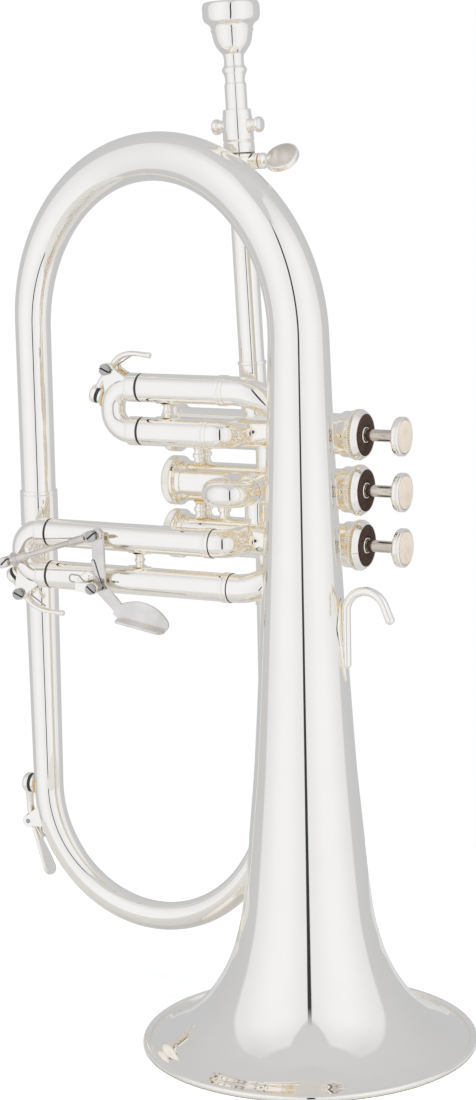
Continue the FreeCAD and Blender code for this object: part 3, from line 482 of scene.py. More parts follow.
def brushed(name, dark, light, rough, stretch=(1, 1, 1), scale=900):
    """Drawn or brushed metal, with fine lines along the short axis of stretch."""
    material, tree, shader = new_material(name, light, 1.0, rough)
    lines = noise(tree, scale, 6, stretch)
    patches = spread(tree, noise(tree, 90, 4), 0, 1)
    wire_up(tree, shader, Base_Color=blend_colors(tree, patches, dark, light),
            Roughness=spread(tree, lines, rough * 0.85, rough * 1.15))
    bump(tree, shader, lines, 0.000002)
    return material


def black_cork():
    material, tree, shader = new_material("black_cork", (0.03, 0.028, 0.026), 0.0, 0.62)
    grains = noise(tree, 1400, 5)
    color = blend_colors(tree, spread(tree, grains, 0, 1), (0.016, 0.015, 0.014), (0.055, 0.05, 0.046))
    wire_up(tree, shader, Base_Color=color, Roughness=spread(tree, grains, 0.5, 0.8))
    bump(tree, shader, grains, 0.00025)
    return material


def felt():
    material, tree, shader = new_material("felt", (0.07, 0.025, 0.02), 0.0, 0.95)
    fibres = noise(tree, 2600, 8, (1, 1, 0.4))
    patches = noise(tree, 500, 4)
    dark = blend_colors(tree, spread(tree, patches, 0, 1), (0.008, 0.004, 0.002), (0.060, 0.028, 0.016))
    color = blend_colors(tree, spread(tree, fibres, 0, 1), dark, (0.12, 0.062, 0.04))
    wire_up(tree, shader, Base_Color=color, Sheen_Weight=0.05, Sheen_Roughness=0.6,
            Specular_IOR_Level=0.15)
    bump(tree, shader, fibres, 0.0006)
    return material


def pearl():
    """Mother-of-pearl: folded cream bands under a clear polish."""
    material, tree, shader = new_material("pearl", (0.87, 0.78, 0.62), 0.0, 0.22)
    place = add_node(tree, "TexCoord").outputs["Object"]
    waves = add_node(tree, "TexWave", Vector=place, Scale=55, Distortion=5, Detail=3,
                     Detail_Scale=1.5).outputs["Fac"]
    bands = blend_colors(tree, waves, (0.74, 0.57, 0.40), (0.86, 0.72, 0.55))
    color = blend_colors(tree, spread(tree, noise(tree, 320, 5), 0, 0.8), bands, (0.89, 0.77, 0.62))
    wire_up(tree, shader, Base_Color=color, Coat_Weight=0.6, Coat_Roughness=0.05)
    bump(tree, shader, waves, 0.00003)
    return material


FINISHES = {
    "silver": silver_plate(),
    "satin": brushed("satin_nickel", (0.70, 0.66, 0.61), (0.83, 0.785, 0.73), 0.15, (0.2, 1, 1), 700),
    "steel": brushed("spring_steel", (0.42, 0.40, 0.37), (0.60, 0.58, 0.55), 0.22, (0.2, 1, 1), 1500),
    "monel": brushed("monel", (0.62, 0.56, 0.50), (0.80, 0.74, 0.67), 0.14, (0.1, 1, 1)),
    # near-black finish: painted shade in the screw slots and behind the stop leaf, and the dark joint lines
    # on the bands
    "shade_and_joints": brushed("shade_and_joint_black", (0.03, 0.028, 0.025), (0.07, 0.065, 0.06), 0.5),
    "cork": black_cork(),
    "felt": felt(),
    "pearl": pearl(),
}


# ---- bell and bows ----
# (radius, height) of the outside of the bell, from the stem to the rim
BELL_OUTLINE = [(THROAT, BELL_TOP), (15.1, 271.0), (18.3, 205.0), (22.15, 140.0), (24.4, 112.0),
                (29.2, 65.5), (33.2, 46.6), (36.6, 37.0), (41.4, 27.6), (47.6, 18.8), (55.5, 11.3),
                (64.5, 5.6), (69.6, 3.1), (BELL_RADIUS - 2.3 * BEAD, 1.9)]


def bell_radius(height):
    for (r0, z0), (r1, z1) in zip(BELL_OUTLINE, BELL_OUTLINE[1:]):
        if z1 <= height <= z0:
            return r0 + (r1 - r0) * (z0 - height) / (z0 - z1)
    return THROAT


def bell():
    outside = spline(BELL_OUTLINE, 10)
    inside = []
    for k, (r, z) in enumerate(outside):
        before, after = outside[max(k - 1, 0)], outside[min(k + 1, len(outside) - 1)]
        run = Vector((after[0] - before[0], after[1] - before[1])).normalized()
        inside.append((r + run.y * BELL_WALL, z - run.x * BELL_WALL))
    centre = BELL_RADIUS - BEAD
    bead = [(r, max(z, 0)) for r, z in fan(BEAD, radians(165), radians(-165), 18, (centre, BEAD_Z))]
    profile = outside + bead + [p for p in reversed(inside) if p[0] < centre - BEAD * 1.4]
    Piece().lathe(profile, Vector((0, 0, 0)), Z, 160, caps=False).finish("bell", ["bell_flare"])


def top_bow():
    start = Vector((0, 0, BELL_TOP))
    foot = on_valves(LEG_X, BELL_TOP)
    centre = (start + foot) / 2
    arm = start - centre
    curve = arc(centre, arm, Z * arm.length, 72, pi)
    lap = line(start - Z * 1.5, start, 1)
    leg = line(foot, on_valves(LEG_X, JOINT_Z), 12)
    radii = [THROAT - 0.2]
    radii += taper(THROAT, LEG_RADIUS, 72)
    radii += taper(LEG_RADIUS, JOINT_RADIUS, 11)[1:] + [JOINT_RADIUS]
    Piece().tube(path_of(lap, curve, leg), radii, 96, first_cap=False).finish("top_bow", ["bell_bow"])


def low_bow():
    low_left = on_valves(LEG_X, BOW_START_Z)
    left = on_valves(BOW_MIDDLE_X, BOW_START_Z)
    right = on_valves(BOW_MIDDLE_X, BOW_FINISH_Z)
    low_right = on_valves(BOW_PORT_X, BOW_FINISH_Z)
    leg = line(on_valves(LEG_X, SLEEVE_LOW), low_left, 12)
    first = arc(left, low_left - left, -Z * (BOW_START_Z - BOW_MIDDLE_Z), 32)
    second = arc(right, -Z * (BOW_FINISH_Z - BOW_MIDDLE_Z), low_right - right, 32)
    rise = line(low_right, on_valves(BOW_PORT_X, BOW_END_Z), 8)
    radii = taper(JOINT_RADIUS, BOW_START_RADIUS, 12)
    radii += taper(BOW_START_RADIUS, BOW_MIDDLE_RADIUS, 32)[1:]
    radii += taper(BOW_MIDDLE_RADIUS, BOW_END_RADIUS, 32)[1:]
    radii += [BOW_END_RADIUS] * 8
    Piece().tube(path_of(leg, first, second, rise), radii, 64).finish("low_bow", ["lower_bow"])
    port = [(BOW_END_RADIUS, 0), (BOW_END_RADIUS, VALVE_Z[2] - BOW_END_Z - 5)]
    tube = Piece().lathe(port, on_valves(BOW_PORT_X, BOW_END_Z), Z, 64)
    tube.solder(on_valves(BOW_PORT_X, VALVE_Z[2]), -Z, BOW_END_RADIUS, CASING_RADIUS)
    tube.finish("low_port", ["third_valve_port"])


def ring_profile(inner, outer, length, grooves=()):
    """A band on a tube with softened lips and fine turned grooves at those heights."""
    points = [(inner, 0), (outer, 0)]
    for at in grooves:
        points += [(outer, at - 0.3), (outer - 0.22, at - 0.1), (outer - 0.22, at + 0.1), (outer, at + 0.3)]
    points += [(outer, length), (inner, length)]
    return softened(points, 0.3)


def slide_lines():
    """(name, crook_x, near height, far height) of the two long slides."""
    return (("first", FIRST_CROOK_X, VALVE_Z[0], VALVE_Z[0] + PITCH),
            ("third", THIRD_CROOK_X, VALVE_Z[2], VALVE_Z[2] - PITCH))


NEAR_START = NEAR_PORT_X - NEAR_BEND
FAR_START = FAR_PORT_X - FAR_BEND


def bands():
    """Every ferrule and sleeve ring that is soldered on the horn itself."""
    all_bands = Piece()
    lines = Piece()
    leg = on_valves(LEG_X, SLEEVE_LOW)
    all_bands.lathe(ring_profile(JOINT_RADIUS, JOINT_RADIUS + 0.75, JOINT_Z + 1 - SLEEVE_LOW,
                                 (1.6, JOINT_Z - 0.8 - SLEEVE_LOW)), leg, Z, 72)
    all_bands.lathe(ring_profile(BOW_END_RADIUS, BOW_END_RADIUS + 0.6, 6.0, (1.2, 4.8)),
                    on_valves(BOW_PORT_X, BOW_END_Z - 3), Z)
    all_bands.lathe(ring_profile(LEADPIPE_OUT, 6.5, 1.6), leaned(LEADPIPE_FOOT_END), LEAN_Z)
    sleeve_ring = stepped(SLEEVE_OUT, [(-0.1, 0), (0.42, 0.05), (0.45, 1.5), (0.18, 1.7),
                                       (0.18, 2.2), (0.45, 2.4), (0.42, 3.9), (-0.1, 4.0)])
    dark_edge = stepped(SLEEVE_OUT, [(-0.1, 3.9), (0.2, 3.9), (0.2, 4.2), (-0.1, 4.2)])
    for name, crook_x, near_z, far_z in slide_lines():
        for start, z in ((NEAR_START - 4.2, near_z), (FAR_START - 6.8, far_z)):
            all_bands.lathe(softened(sleeve_ring, 0.15), on_slides(start, z), X)
            if name == "third":
                lines.ring(dark_edge, on_slides(start, z), X, 64)
    lines.ring([(6.1, 0), (6.9, 0), (6.9, 0.4), (6.1, 0.4)], leaned(LEADPIPE_END + 0.2), LEAN_Z, 64)
    all_bands.finish("bands", ["ferrules"])
    lines.finish("band_edges", finish="shade_and_joints")


# ---- valves ----
def valve_point(i, x, dy=0.0):
    return Vector((x, VALVE_Y + dy, VALVE_Z[i]))


def valve(i):
    n = str(i + 1)
    body = "valve_" + n
    length = CASING_HIGH - CASING_LOW
    casing = [(VALVE_BORE, 0), (CASING_RADIUS, 0), (CASING_RADIUS, length), (VALVE_BORE, length)]
    Piece().ring(casing, valve_point(i, CASING_LOW), X, 96).finish("casing_" + n, ["valve_casing_" + n])
    collar = stepped(STEM_RADIUS, [(0.05, -1.6), (0.35, -1.5), (0.35, -0.5), (0.15, -0.4),
                                   (0.15, 0.1), (0.05, 0.1)])
    seat = valve_point(i, BUTTON_BACK)
    Piece().ring(collar, seat, X, 40).finish("stem_collar_" + n, body=body, finish="monel")
    edge = stepped(BUTTON_RADIUS, [(-1.3, 0.15), (-0.35, 0.6), (0, 1.3), (0, 2.45), (-0.35, 2.65),
                                   (-0.35, 2.85), (0, 3.05), (0, 3.6), (-0.5, 4.1)])
    button = [(0, 0), (3.9, 0), (4.6, 0.1)] + edge + [(7.6, 4.1), (7.5, 3.2), (0, 3.2)]
    shell = Piece().lathe(softened(button, 0.2), seat, X, 72)
    shell.finish("button_" + n, ["finger_button_" + n], body)
    inlay = spline([(7.48, 2.6), (7.4, 3.95), (7.0, 4.18), (5.0, 4.3), (2.5, 4.36), (0, 4.38)], 4)
    cover = Piece().lathe([(0, 2.6)] + inlay, seat, X, 64)
    cover.finish("inlay_" + n, ["pearl_" + n], body, "pearl")
    low, high = corners("valve_spring_" + n)
    wire = 0.45
    spring = Piece().coil(valve_point(i, low.x + wire), X, 6.2, wire, 7, high.x - low.x - 2 * wire)
    coil = spring.finish("spring_" + n, ["valve_spring_" + n], "horn", "steel")
    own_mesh(coil)
    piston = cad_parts["piston_" + n].data.materials
    piston.clear()
    piston.append(FINISHES["monel"])


def valve_caps():
    """Bottom and top caps with knurled rims, and the felts on the top caps."""
    low = [(0, 0.9), (2.2, 0.9), (2.6, 0.35), (6.0, 0.3), (6.6, 0.0)]
    low += stepped(CAP_RADIUS, [(-1.0, 0.0), (-0.1, 0.8), (0, 1.0), (0, 1.2), (0, 3.9), (0, 4.1),
                                (-0.5, 4.3), (-0.5, 4.6), (0, 4.8), (0, 5.6), (-0.8, 6.2)])
    low += stepped(CASING_RADIUS, [(0.5, 6.6), (0.45, 8.6), (0.1, 8.9), (0, 8.9), (0, 4.0)])
    low += [(VALVE_BORE, 4.0), (VALVE_BORE, 2.2), (0, 2.2)]
    top = [(CASING_RADIUS, 5.0)]
    top += stepped(COLLAR_RADIUS, [(-0.2, 5.0), (0, 5.4), (0, 8.6), (0.3, 9.0)])
    top += stepped(CAP_RADIUS, [(-0.35, 10.2), (-0.1, 10.9), (0, 11.0), (0, 11.1), (0, 12.7),
                                (0, 12.8), (-0.3, 13.1), (-0.7, 14.0), (-1.3, 14.8)])
    top += [(9.9, 15.2), (9.45, 15.2), (9.4, 14.9), (9.4, 12.0), (3.7, 12.0), (3.7, 15.3),
            (3.5, 15.6), (3.15, 15.6), (3.1, 8.0), (CASING_RADIUS, 8.0)]
    pad = softened([(3.95, 0), (9.3, 0), (9.35, 0.8), (9.35, 2.9), (9.0, 3.4), (8.0, 3.55),
                    (4.8, 3.55), (4.0, 3.3)], 0.35)
    bottoms = Piece()
    tops = Piece()
    felts = Piece()
    for i in range(3):
        bottoms.lathe(low, valve_point(i, CASING_LOW - 4), X, knurl=(1.1, 3.95, 72, 0.4))
        tops.ring(top, valve_point(i, 2.5), X, knurl=(11.05, 12.75, 62, 0.8))
        felts.ring(pad, valve_point(i, 14.6), X, 72)
    bottoms.finish("bottom_caps_knurled", ["bottom_caps"], sharp=28)
    tops.finish("top_caps_knurled", ["top_caps"], sharp=28)
    felts.finish("felts", ["top_felts"], "horn", "felt")


# (valve, x, distance from the plane of the valves, radius)
SPACERS = [(0, -65.5, -3.2, 2.2), (0, -65.5, 3.2, 2.2), (1, -65.5, -3.2, 2.2),
           (1, -65.5, 3.2, 2.2), (1, -54.5, 0.0, 2.4)]


def knuckles():
    joined = Piece()
    for i, x in ((0, KNUCKLE_X), (1, PORT_X)):
        upper, lower = valve_point(i, x), valve_point(i + 1, x)
        gap = upper.z - lower.z
        joined.lathe([(LEG_OUT, 5), (LEG_OUT, gap - 5)], lower, Z, 56)
        joined.solder(lower, Z, LEG_OUT, CASING_RADIUS)
        joined.solder(upper, -Z, LEG_OUT, CASING_RADIUS)
    for i, x, dy, radius in SPACERS:
        gap = VALVE_Z[i] - VALVE_Z[i + 1]
        half = gap / 2
        post = spline([(radius + 0.9, half - 3.9), (radius + 0.3, half - 3.2), (radius, half - 2.2),
                       (radius, half - 1.0)], 4)
        band = softened([(radius, half - 1.0), (radius + 0.7, half - 0.95), (radius + 0.7, half + 0.95),
                         (radius, half + 1.0)], 0.3)
        mirrored = [(r, gap - h) for r, h in reversed(post)]
        joined.lathe(post + band + mirrored, valve_point(i + 1, x, dy), Z, 32)
    joined.finish("airways_and_posts", ["valve_knuckles"])


# ---- slides ----
def outer_tubes(name, crook_x, near_z, far_z):
    """The two fixed tubes of a long slide, from its valve to their open mouths."""
    i = 0 if name == "first" else 2
    side = 1 if far_z > near_z else -1
    mouth = crook_x + FERRULE_LENGTH + RING_WIDTH + 0.16
    near_start = on_slides(NEAR_START, near_z)
    near_pivot = near_start + Y * NEAR_BEND
    near_end = Vector((NEAR_PORT_X, VALVE_Y - 5, near_z))
    near = path_of(line(on_slides(mouth, near_z), near_start, 10),
                   arc(near_pivot, -Y * NEAR_BEND, X * NEAR_BEND, 16))
    near = path_of(near, line(near[-1], near_end, 3))
    inward = Vector((0, 1, -side)).normalized()
    far_start = on_slides(FAR_START, far_z)
    far_pivot = far_start + inward * FAR_BEND
    far = path_of(line(on_slides(mouth, far_z), far_start, 10),
                  arc(far_pivot, -inward * FAR_BEND, X * FAR_BEND, 20))
    far = path_of(far, line(far[-1], far[-1] + inward * 4, 2))
    outer = Piece().tube(near, SLEEVE_OUT, 56).tube(far, SLEEVE_OUT, 56)
    lip = ring_profile(LEG_OUT, SLEEVE_OUT + 0.08, 1.4)
    for z in (near_z, far_z):
        outer.lathe(lip, on_slides(mouth, z), X, 56)
    outer.solder(valve_point(i, NEAR_PORT_X), -Y, SLEEVE_OUT, CASING_RADIUS)
    outer.solder(valve_point(i, FAR_PORT_X), -inward, SLEEVE_OUT, CASING_RADIUS)
    outer.finish(name + "_outer_tubes", [name + "_slide_tubes"])


def inner_slide(name, crook_x, near_z, far_z):
    """The part that pulls out: crook with ferrules, inner legs and seals."""
    top, low = max(near_z, far_z), min(near_z, far_z)
    top_foot = on_slides(crook_x, top)
    low_foot = on_slides(crook_x, low)
    bow = path_of(line(top_foot + X, top_foot, 1),
                  arc(top_foot - Z * CROOK_BEND, Z * CROOK_BEND, -X * CROOK_BEND, 20),
                  arc(low_foot + Z * CROOK_BEND, -X * CROOK_BEND, -Z * CROOK_BEND, 20),
                  line(low_foot, low_foot + X, 1))
    crook = Piece().tube(bow, CROOK_OUT, 56)
    for foot in (top_foot, low_foot):
        crook.lathe(ring_profile(CROOK_OUT - 0.3, FERRULE_OUT, FERRULE_LENGTH - 0.16, (0.9,)), foot, X, 64)
    body = name + "_slide"
    crook.finish(name + "_crook", [body + "_crook"], body)

    legs = Piece()
    seals = Piece()
    for z, end in ((near_z, NEAR_START - 1), (far_z, FAR_START - 3)):
        length = end - crook_x
        legs.lathe(softened([(LEG_OUT, 1), (LEG_OUT, length), (LEG_OUT - 0.6, length), (LEG_OUT - 0.6, 1)]),
                   on_slides(crook_x, z), X, 48)
        seal = [(LEG_OUT, -0.15), (SLEEVE_OUT - 0.15, -0.15), (SLEEVE_OUT + 0.02, RING_WIDTH / 2),
                (SLEEVE_OUT - 0.15, RING_WIDTH + 0.15), (LEG_OUT, RING_WIDTH + 0.15)]
        seals.lathe(spline(seal, 3), on_slides(crook_x + FERRULE_LENGTH, z), X, 56)
    legs.finish(name + "_inner_legs", [body + "_legs"], body, "satin")
    seals.finish(name + "_seals", [body + "_o_rings"], body, "cork")


def second_slide():
    z = VALVE_Z[1]
    crook_y = SECOND_MOUTH - 4.5
    left, right = [Vector((x, crook_y, z)) for x in SECOND_X]
    centre = (left + right) / 2
    lip_y = SECOND_MOUTH - 0.3 - crook_y
    bow = path_of(line(left + Y * lip_y, left, 2),
                  arc(centre, left - centre, -Y * (right - left).length / 2, 28, pi),
                  line(right, right + Y * lip_y, 2))
    crook = Piece().tube(bow, SECOND_OUT, 56)
    outer = Piece()
    for x in SECOND_X:
        crook.lathe([(5.5, 0), (5.5, VALVE_Y - CASING_RADIUS - 0.6 - SECOND_MOUTH)],
                    Vector((x, SECOND_MOUTH - 0.4, z)), Y, 48)
        outer.lathe(softened([(5.6, 0), (6.4, 0), (6.4, 0.9), (6.22, 1.1), (6.4, 1.3), (6.4, 2.2),
                              (SECOND_OUT, 2.4), (SECOND_OUT, 16)], 0.15),
                    Vector((x, SECOND_MOUTH, z)), Y, 56)
        outer.solder(valve_point(1, x), -Y, SECOND_OUT, CASING_RADIUS)
    crook.finish("second_crook", ["second_slide_crook"], "second_slide")
    outer.finish("second_outer_tubes", ["second_slide_tubes"])


def post(piece, start, end, radius, barrel=0.3):
    """Turned brace post with flared feet and a barrel that much thicker half way."""
    length = (end - start).length
    side = spline([(radius + 1.5, 0), (radius + 0.5, 0.7), (radius, 1.6),
                   (radius + barrel, length / 2)], 6)
    mirrored = [(r, length - h) for r, h in reversed(side)]
    piece.lathe(side + mirrored[1:], start, end - start, 40)


def braces():
    all_braces = Piece()
    for x, (_, _, near_z, far_z) in zip(SLIDE_BRACE_X, slide_lines()):
        low, high = min(near_z, far_z), max(near_z, far_z)
        reach = SLEEVE_OUT + 0.3
        post(all_braces, on_slides(x, low + reach), on_slides(x, high - reach), 1.9, 0.7)
        for z, out in ((low, Z), (high, -Z)):
            all_braces.saddle(on_slides(x, z), X, out, SLEEVE_OUT, 6.5, 4.6, 0.55)
    for i in (0, 2):
        x = STEM_BRACE_X
        z = VALVE_Z[i]
        stem = bell_radius(z)
        start = Vector((x, sqrt(stem ** 2 - x ** 2), z))
        end = Vector((x, VALVE_Y - CASING_RADIUS, z))
        if (end - start).length > 2:
            post(all_braces, start, end, 2.0)
        outwards = Vector((x, start.y, 0)).normalized()
        all_braces.saddle(Z * z, Z, outwards, stem, 5.0, 5.0, 0.8, False)
        all_braces.saddle(on_valves(x, z), X, -Y, CASING_RADIUS, 5.0, 4.6, 0.6, False)
    at = leaned(PIPE_BRACE_HEIGHT)
    post(all_braces, at - Y * 5.6, at - Y * 11.5, 2.1)
    all_braces.saddle(at, LEAN_Z, -Y, LEADPIPE_OUT, 5.0, 4.0, 0.5)
    all_braces.finish("brace_posts", ["braces"])


# ---- leadpipe, mouthpipe and mouthpiece ----
BOSS_END = 10.0


def lead_pipe():
    wall = [(LEADPIPE_FOOT_OUT, 6), (LEADPIPE_FOOT_OUT, LEADPIPE_FOOT_END),
            (LEADPIPE_OUT, LEADPIPE_FOOT_END + 0.2), (LEADPIPE_OUT, LEADPIPE_END), (5.2, LEADPIPE_END)]
    pipe = Piece().lathe(wall, leaned(0), LEAN_Z, 64)
    pipe.solder(valve_point(0, PORT_X), Z, LEADPIPE_FOOT_OUT, CASING_RADIUS)
    pipe.finish("lead_pipe", ["leadpipe"])
    band = ring_profile(LEADPIPE_OUT, 6.6, 11.4, (1.5, 9.9))
    clamp = Piece().lathe(band, leaned(CLAMP_HEIGHT), LEAN_Z, 64)
    boss = softened([(3.0, 4.5), (3.6, 5.6), (3.6, 8.9), (3.3, 9.1), (3.6, 9.3), (3.6, BOSS_END),
                     (1.6, BOSS_END)], 0.2)
    clamp.lathe(boss, leaned(SCREW_HEIGHT), LEAN_X, 40)
    clamp.finish("screw_clamp", ["leadpipe_clamp"])


def mouth_pipe():
    shell = softened([(5.15, 78), (5.15, 125), (7.0, 125), (7.0, 129.2), (6.65, 129.8), (6.7, 130.1),
                      (7.05, 130.8), (6.95, 132), (6.7, 139.5), (6.25, 143.8), (6.05, 144.2), (4.93, 144.2),
                      (4.93, 136)], 0.2)
    pipe = Piece().lathe(shell, leaned(0), LEAN_Z, 64)
    knob = softened([(2.9, 5.6), (2.7, 6.8), (2.5, 7.4), (2.7, 7.8), (2.7, 8.8), (2.5, 9.1), (3.2, 9.4),
                     (3.5, 10.1), (3.5, 11.2), (3.0, 12.0), (1.8, 12.4), (0, 12.5)], 0.3)
    for side in (-1, 1):
        pipe.lathe(knob, leaned(KNOB_HEIGHT), LEAN_X * side, 40)
    pipe.finish("mouth_pipe", ["mouthpipe"], "mouthpipe")


def mouth_piece():
    outside = spline([(11.2, 191.5), (12.2, 190.9), (12.8, 189.2), (12.8, 187.0), (12.75, 184.8),
                      (12.0, 182.9), (10.3, 181.6), (9.35, 179.9), (8.95, 176.8), (8.3, 173.8),
                      (7.3, 171.6), (5.7, 169.4), (4.75, 168.2), (4.4, 166.4)], 5)
    neck = softened([(4.4, 164.6), (4.6, 163.4), (5.45, 162.2), (5.65, 161.4), (5.4, 160.5), (4.75, 159.4),
                     (4.4, 157.6), (4.4, 155.9), (4.9, 155.3), (4.9, 128.4), (4.6, 127.6),
                     (4.05, 127.6)], 0.35)
    inside = spline([(2.3, 158.0), (2.2, 162.5), (3.4, 167.8), (5.0, 171.6), (6.6, 176.0), (7.6, 181.0),
                     (8.2, 187.0), (8.6, 189.4), (9.6, 191.1), (10.6, 191.5)], 5)
    cup = Piece().lathe(outside + neck + inside, leaned(0), LEAN_Z, 80, caps=False)
    step = [(8.7, 178.1), (9.35, 178.2), (9.5, 178.5), (9.55, 179.0), (9.4, 179.3), (8.7, 179.4)]
    cup.ring(step, leaned(0), LEAN_Z, 80)
    cup.finish("mouth_piece", ["mouthpiece"], "mouthpiece")


def disc(radius):
    return [(radius * cos(a), radius * sin(a)) for a in round_angles(40)]


def lock_screw():
    profile = softened([(1.5, 5.9), (1.5, BOSS_END + 0.2), (3.2, BOSS_END + 0.2), (3.6, 10.7), (3.6, 11.5),
                        (3.3, 11.7), (3.6, 11.9), (3.6, 12.4), (3.0, 13.0), (2.2, 13.6), (2.0, 14.2)], 0.2)
    neck = spline([(2.0, 14.2), (2.6, 14.9), (2.6, 15.8), (1.9, 16.6), (1.7, 17.4), (0, 17.6)], 4)
    screw = Piece().lathe(profile + neck[1:], leaned(SCREW_HEIGHT), LEAN_X, 40)
    normal = (LEAN_Z * 0.72 - Y * 0.69).normalized()
    across = normal.cross(LEAN_X)
    wing = leaned(SCREW_HEIGHT + 0.9, 21.2)
    screw.slab(disc(7.9), wing, LEAN_X, across, 2.8, 0.6)
    screw.finish("lock_thumbscrew", ["lock_screw"], "lock_screw")
    faces = Piece()
    for side in (-1, 1):
        faces.slab(disc(7.1), wing + normal * (side * 1.25), LEAN_X, across, 0.5, 0.15)
    faces.finish("lock_thumbscrew_faces", body="lock_screw", finish="satin")


# ---- water keys ----
def slotted_screw(piece, at, face_y, radius, degrees, name, body):
    """Round head that faces -Y, with a real slot across it and a near-black floor in the slot as painted
    shade.
    """
    half = 0.3
    depth = 1.8
    u = X * cos(radians(degrees)) + Z * sin(radians(degrees))
    v = Z * cos(radians(degrees)) - X * sin(radians(degrees))
    start = asin(half / radius)
    for side in (-1, 1):
        outline = fan(radius, side * start, side * (pi - start), 16)
        piece.slab(outline, Vector((at.x, face_y + depth / 2, at.z)), u, v, depth, 0.28)
    reach = radius - 0.35
    outline = [(-reach, -half - 0.1), (reach, -half - 0.1), (reach, half + 0.1), (-reach, half + 0.1)]
    # painted shade: a near-black plate sunk in the slot makes it read dark
    slot_shade_floor = Piece().slab(outline, Vector((at.x, face_y + 1.1, at.z)), u, v, 1.2, 0.05)
    slot_shade_floor.finish(name + "_slot", body=body, finish="shade_and_joints")


def ears(piece, pivot, centre, radius, first, last):
    """Two cheek plates that run from the hub to an arc round centre, buried in the tube."""
    heading = atan2(pivot.z - centre.z, pivot.x - centre.x)
    reach = radians(100 if last > first else -100)
    outline = fan(radius, radians(first), radians(last), 8, (centre.x, centre.z))
    outline += fan(3.05, heading + reach, heading - reach, 12, (pivot.x, pivot.z))
    for side in (-3.65, 3.65):
        piece.slab(outline, Vector((0, pivot.y + side, 0)), X, Z, 1.45, 0.4)


def water_key(name, body, parent, seat, out, radius, pivot, cheeks, touch, leaf):
    """Nipple and cheeks on the parent body; cup, arm, hub and touchpiece on the key's body."""
    nipple = spline(stepped(radius, [(0.9, 0.0), (0.25, 0.5), (0, 1.1), (0, 2.1)]), 3)
    nipple += stepped(radius, [(-0.25, 2.38), (-0.9, 2.38), (-1.0, 1.5)]) + [(0, 1.5)]
    base = Piece().lathe(nipple, seat, out, 48)
    ears(base, pivot, *cheeks)
    base.finish(name + "_saddle_and_nipple", [name + "_key_saddle"], parent)

    cork_start = 2.45
    cork = [(0, cork_start), (radius - 0.25, cork_start), (radius + 0.02, cork_start + 0.4),
            (radius + 0.02, 4.2), (radius - 0.3, 4.55), (0, 4.55)]
    pad = Piece().lathe(softened(cork, 0.2), seat, out, 48)
    pad.finish(name + "_cork", [name + "_key_cork"], body, "cork")

    dome = softened([(radius + 0.05, 3.65), (radius + 0.45, 3.7), (radius + 0.45, 5.5), (radius - 0.1, 6.6),
                     (radius * 0.6, 7.1), (0, 7.2)], 0.5)
    lever = Piece().lathe([(0, 4.6)] + dome, seat, out, 48)
    cup = seat + out * 5.1
    start = cup + (pivot - cup).normalized() * (radius - 1.2)
    bend = start.lerp(pivot, 0.5) + out * 0.5
    arm = smooth_path([start, bend, pivot], 8)
    widths = [2.3 - 0.5 * sin(pi * k / (len(arm) - 1)) for k in range(len(arm))]
    lever.tube(arm, widths, 32, 0.95, Y)
    hub = softened([(0, -2.65), (2.5, -2.65), (2.7, -2.3), (2.7, -1.9), (2.3, -1.6), (2.3, 1.6), (2.7, 1.9),
                    (2.7, 2.3), (2.5, 2.65), (0, 2.65)], 0.15)
    lever.lathe(hub, pivot, Y, 40)
    curve = smooth_path(touch)
    lever.tube(curve, [2.3 - 0.9 * k / len(curve) for k in range(len(curve))], 24, 0.68, Y)
    leaf(lever, curve[-1], (curve[-1] - curve[-2]).normalized())
    lever.finish(name + "_lever", [name + "_key_lever"], body)


def key_axle(name, parent, pivot):
    """Slotted screw with a nut behind."""
    screw = Piece()
    slotted_screw(screw, pivot, pivot.y - 6.4, 2.6, -24, name + "_screw", parent)
    screw.lathe([(1.1, -4.6), (1.1, 6.6)], pivot, Y, 24)
    screw.lathe(softened([(0, 6.2), (1.9, 6.2), (1.9, 7.2), (0, 7.2)], 0.2), pivot, Y, 6)
    screw.finish(name + "_screw", [name + "_key_screw"], parent, "steel")


def key_spring(name, parent, pivot, towards_arm, towards_tube):
    """Wire wound on the screw, with one end on the arm and one on the tube."""
    spring = Piece().coil(pivot + Y * 4.7, Y, 2.1, 0.32, 2.5, 1.4)
    ends = ((pivot + Y * 4.7, towards_arm), (pivot + Y * 6.0, towards_tube))
    for start, end in ends:
        run = (end - start).normalized()
        from_coil = start + side_of(run) * 2.0
        spring.tube(line(from_coil, end, 6), 0.32, 10)
        spring.ball(end, 0.45, 12)
    spring.finish(name + "_wire_spring", [name + "_key_spring"], parent, "steel")


def slide_key(name, crook_x, far_z, side, degrees, drop, touch):
    corner = on_slides(crook_x, far_z - side * CROOK_BEND)
    out = Vector((cos(radians(degrees)), 0, sin(radians(degrees))))
    seat = corner + out * (CROOK_BEND + CROOK_OUT - 0.8)
    pivot = on_slides(crook_x - 9.9, far_z + side * drop)
    path = [pivot + X * u + Z * (side * v) for u, v in touch]

    def tip(lever, end, heading):
        block = softened([(0, -0.6), (1.25, -0.6), (1.25, 0.5), (1.05, 0.7), (1.25, 0.9), (1.35, 2.9),
                          (0.9, 3.4), (0, 3.4)], 0.3)
        lever.lathe(block, end - heading * 2.2, heading, 28)

    cheeks = (corner, CROOK_BEND + 3.4, side * 76, side * 152)
    water_key(name, name + "_key", name + "_slide", seat, out, 3.9, pivot, cheeks, path, tip)
    key_axle(name, name + "_slide", pivot)
    key_spring(name, name + "_slide", pivot, path[2] + Y * 3.0 - Z * (side * 1.0),
               Vector((crook_x - 0.5, SLIDE_Y + 3.0, far_z + side * 5.6)))


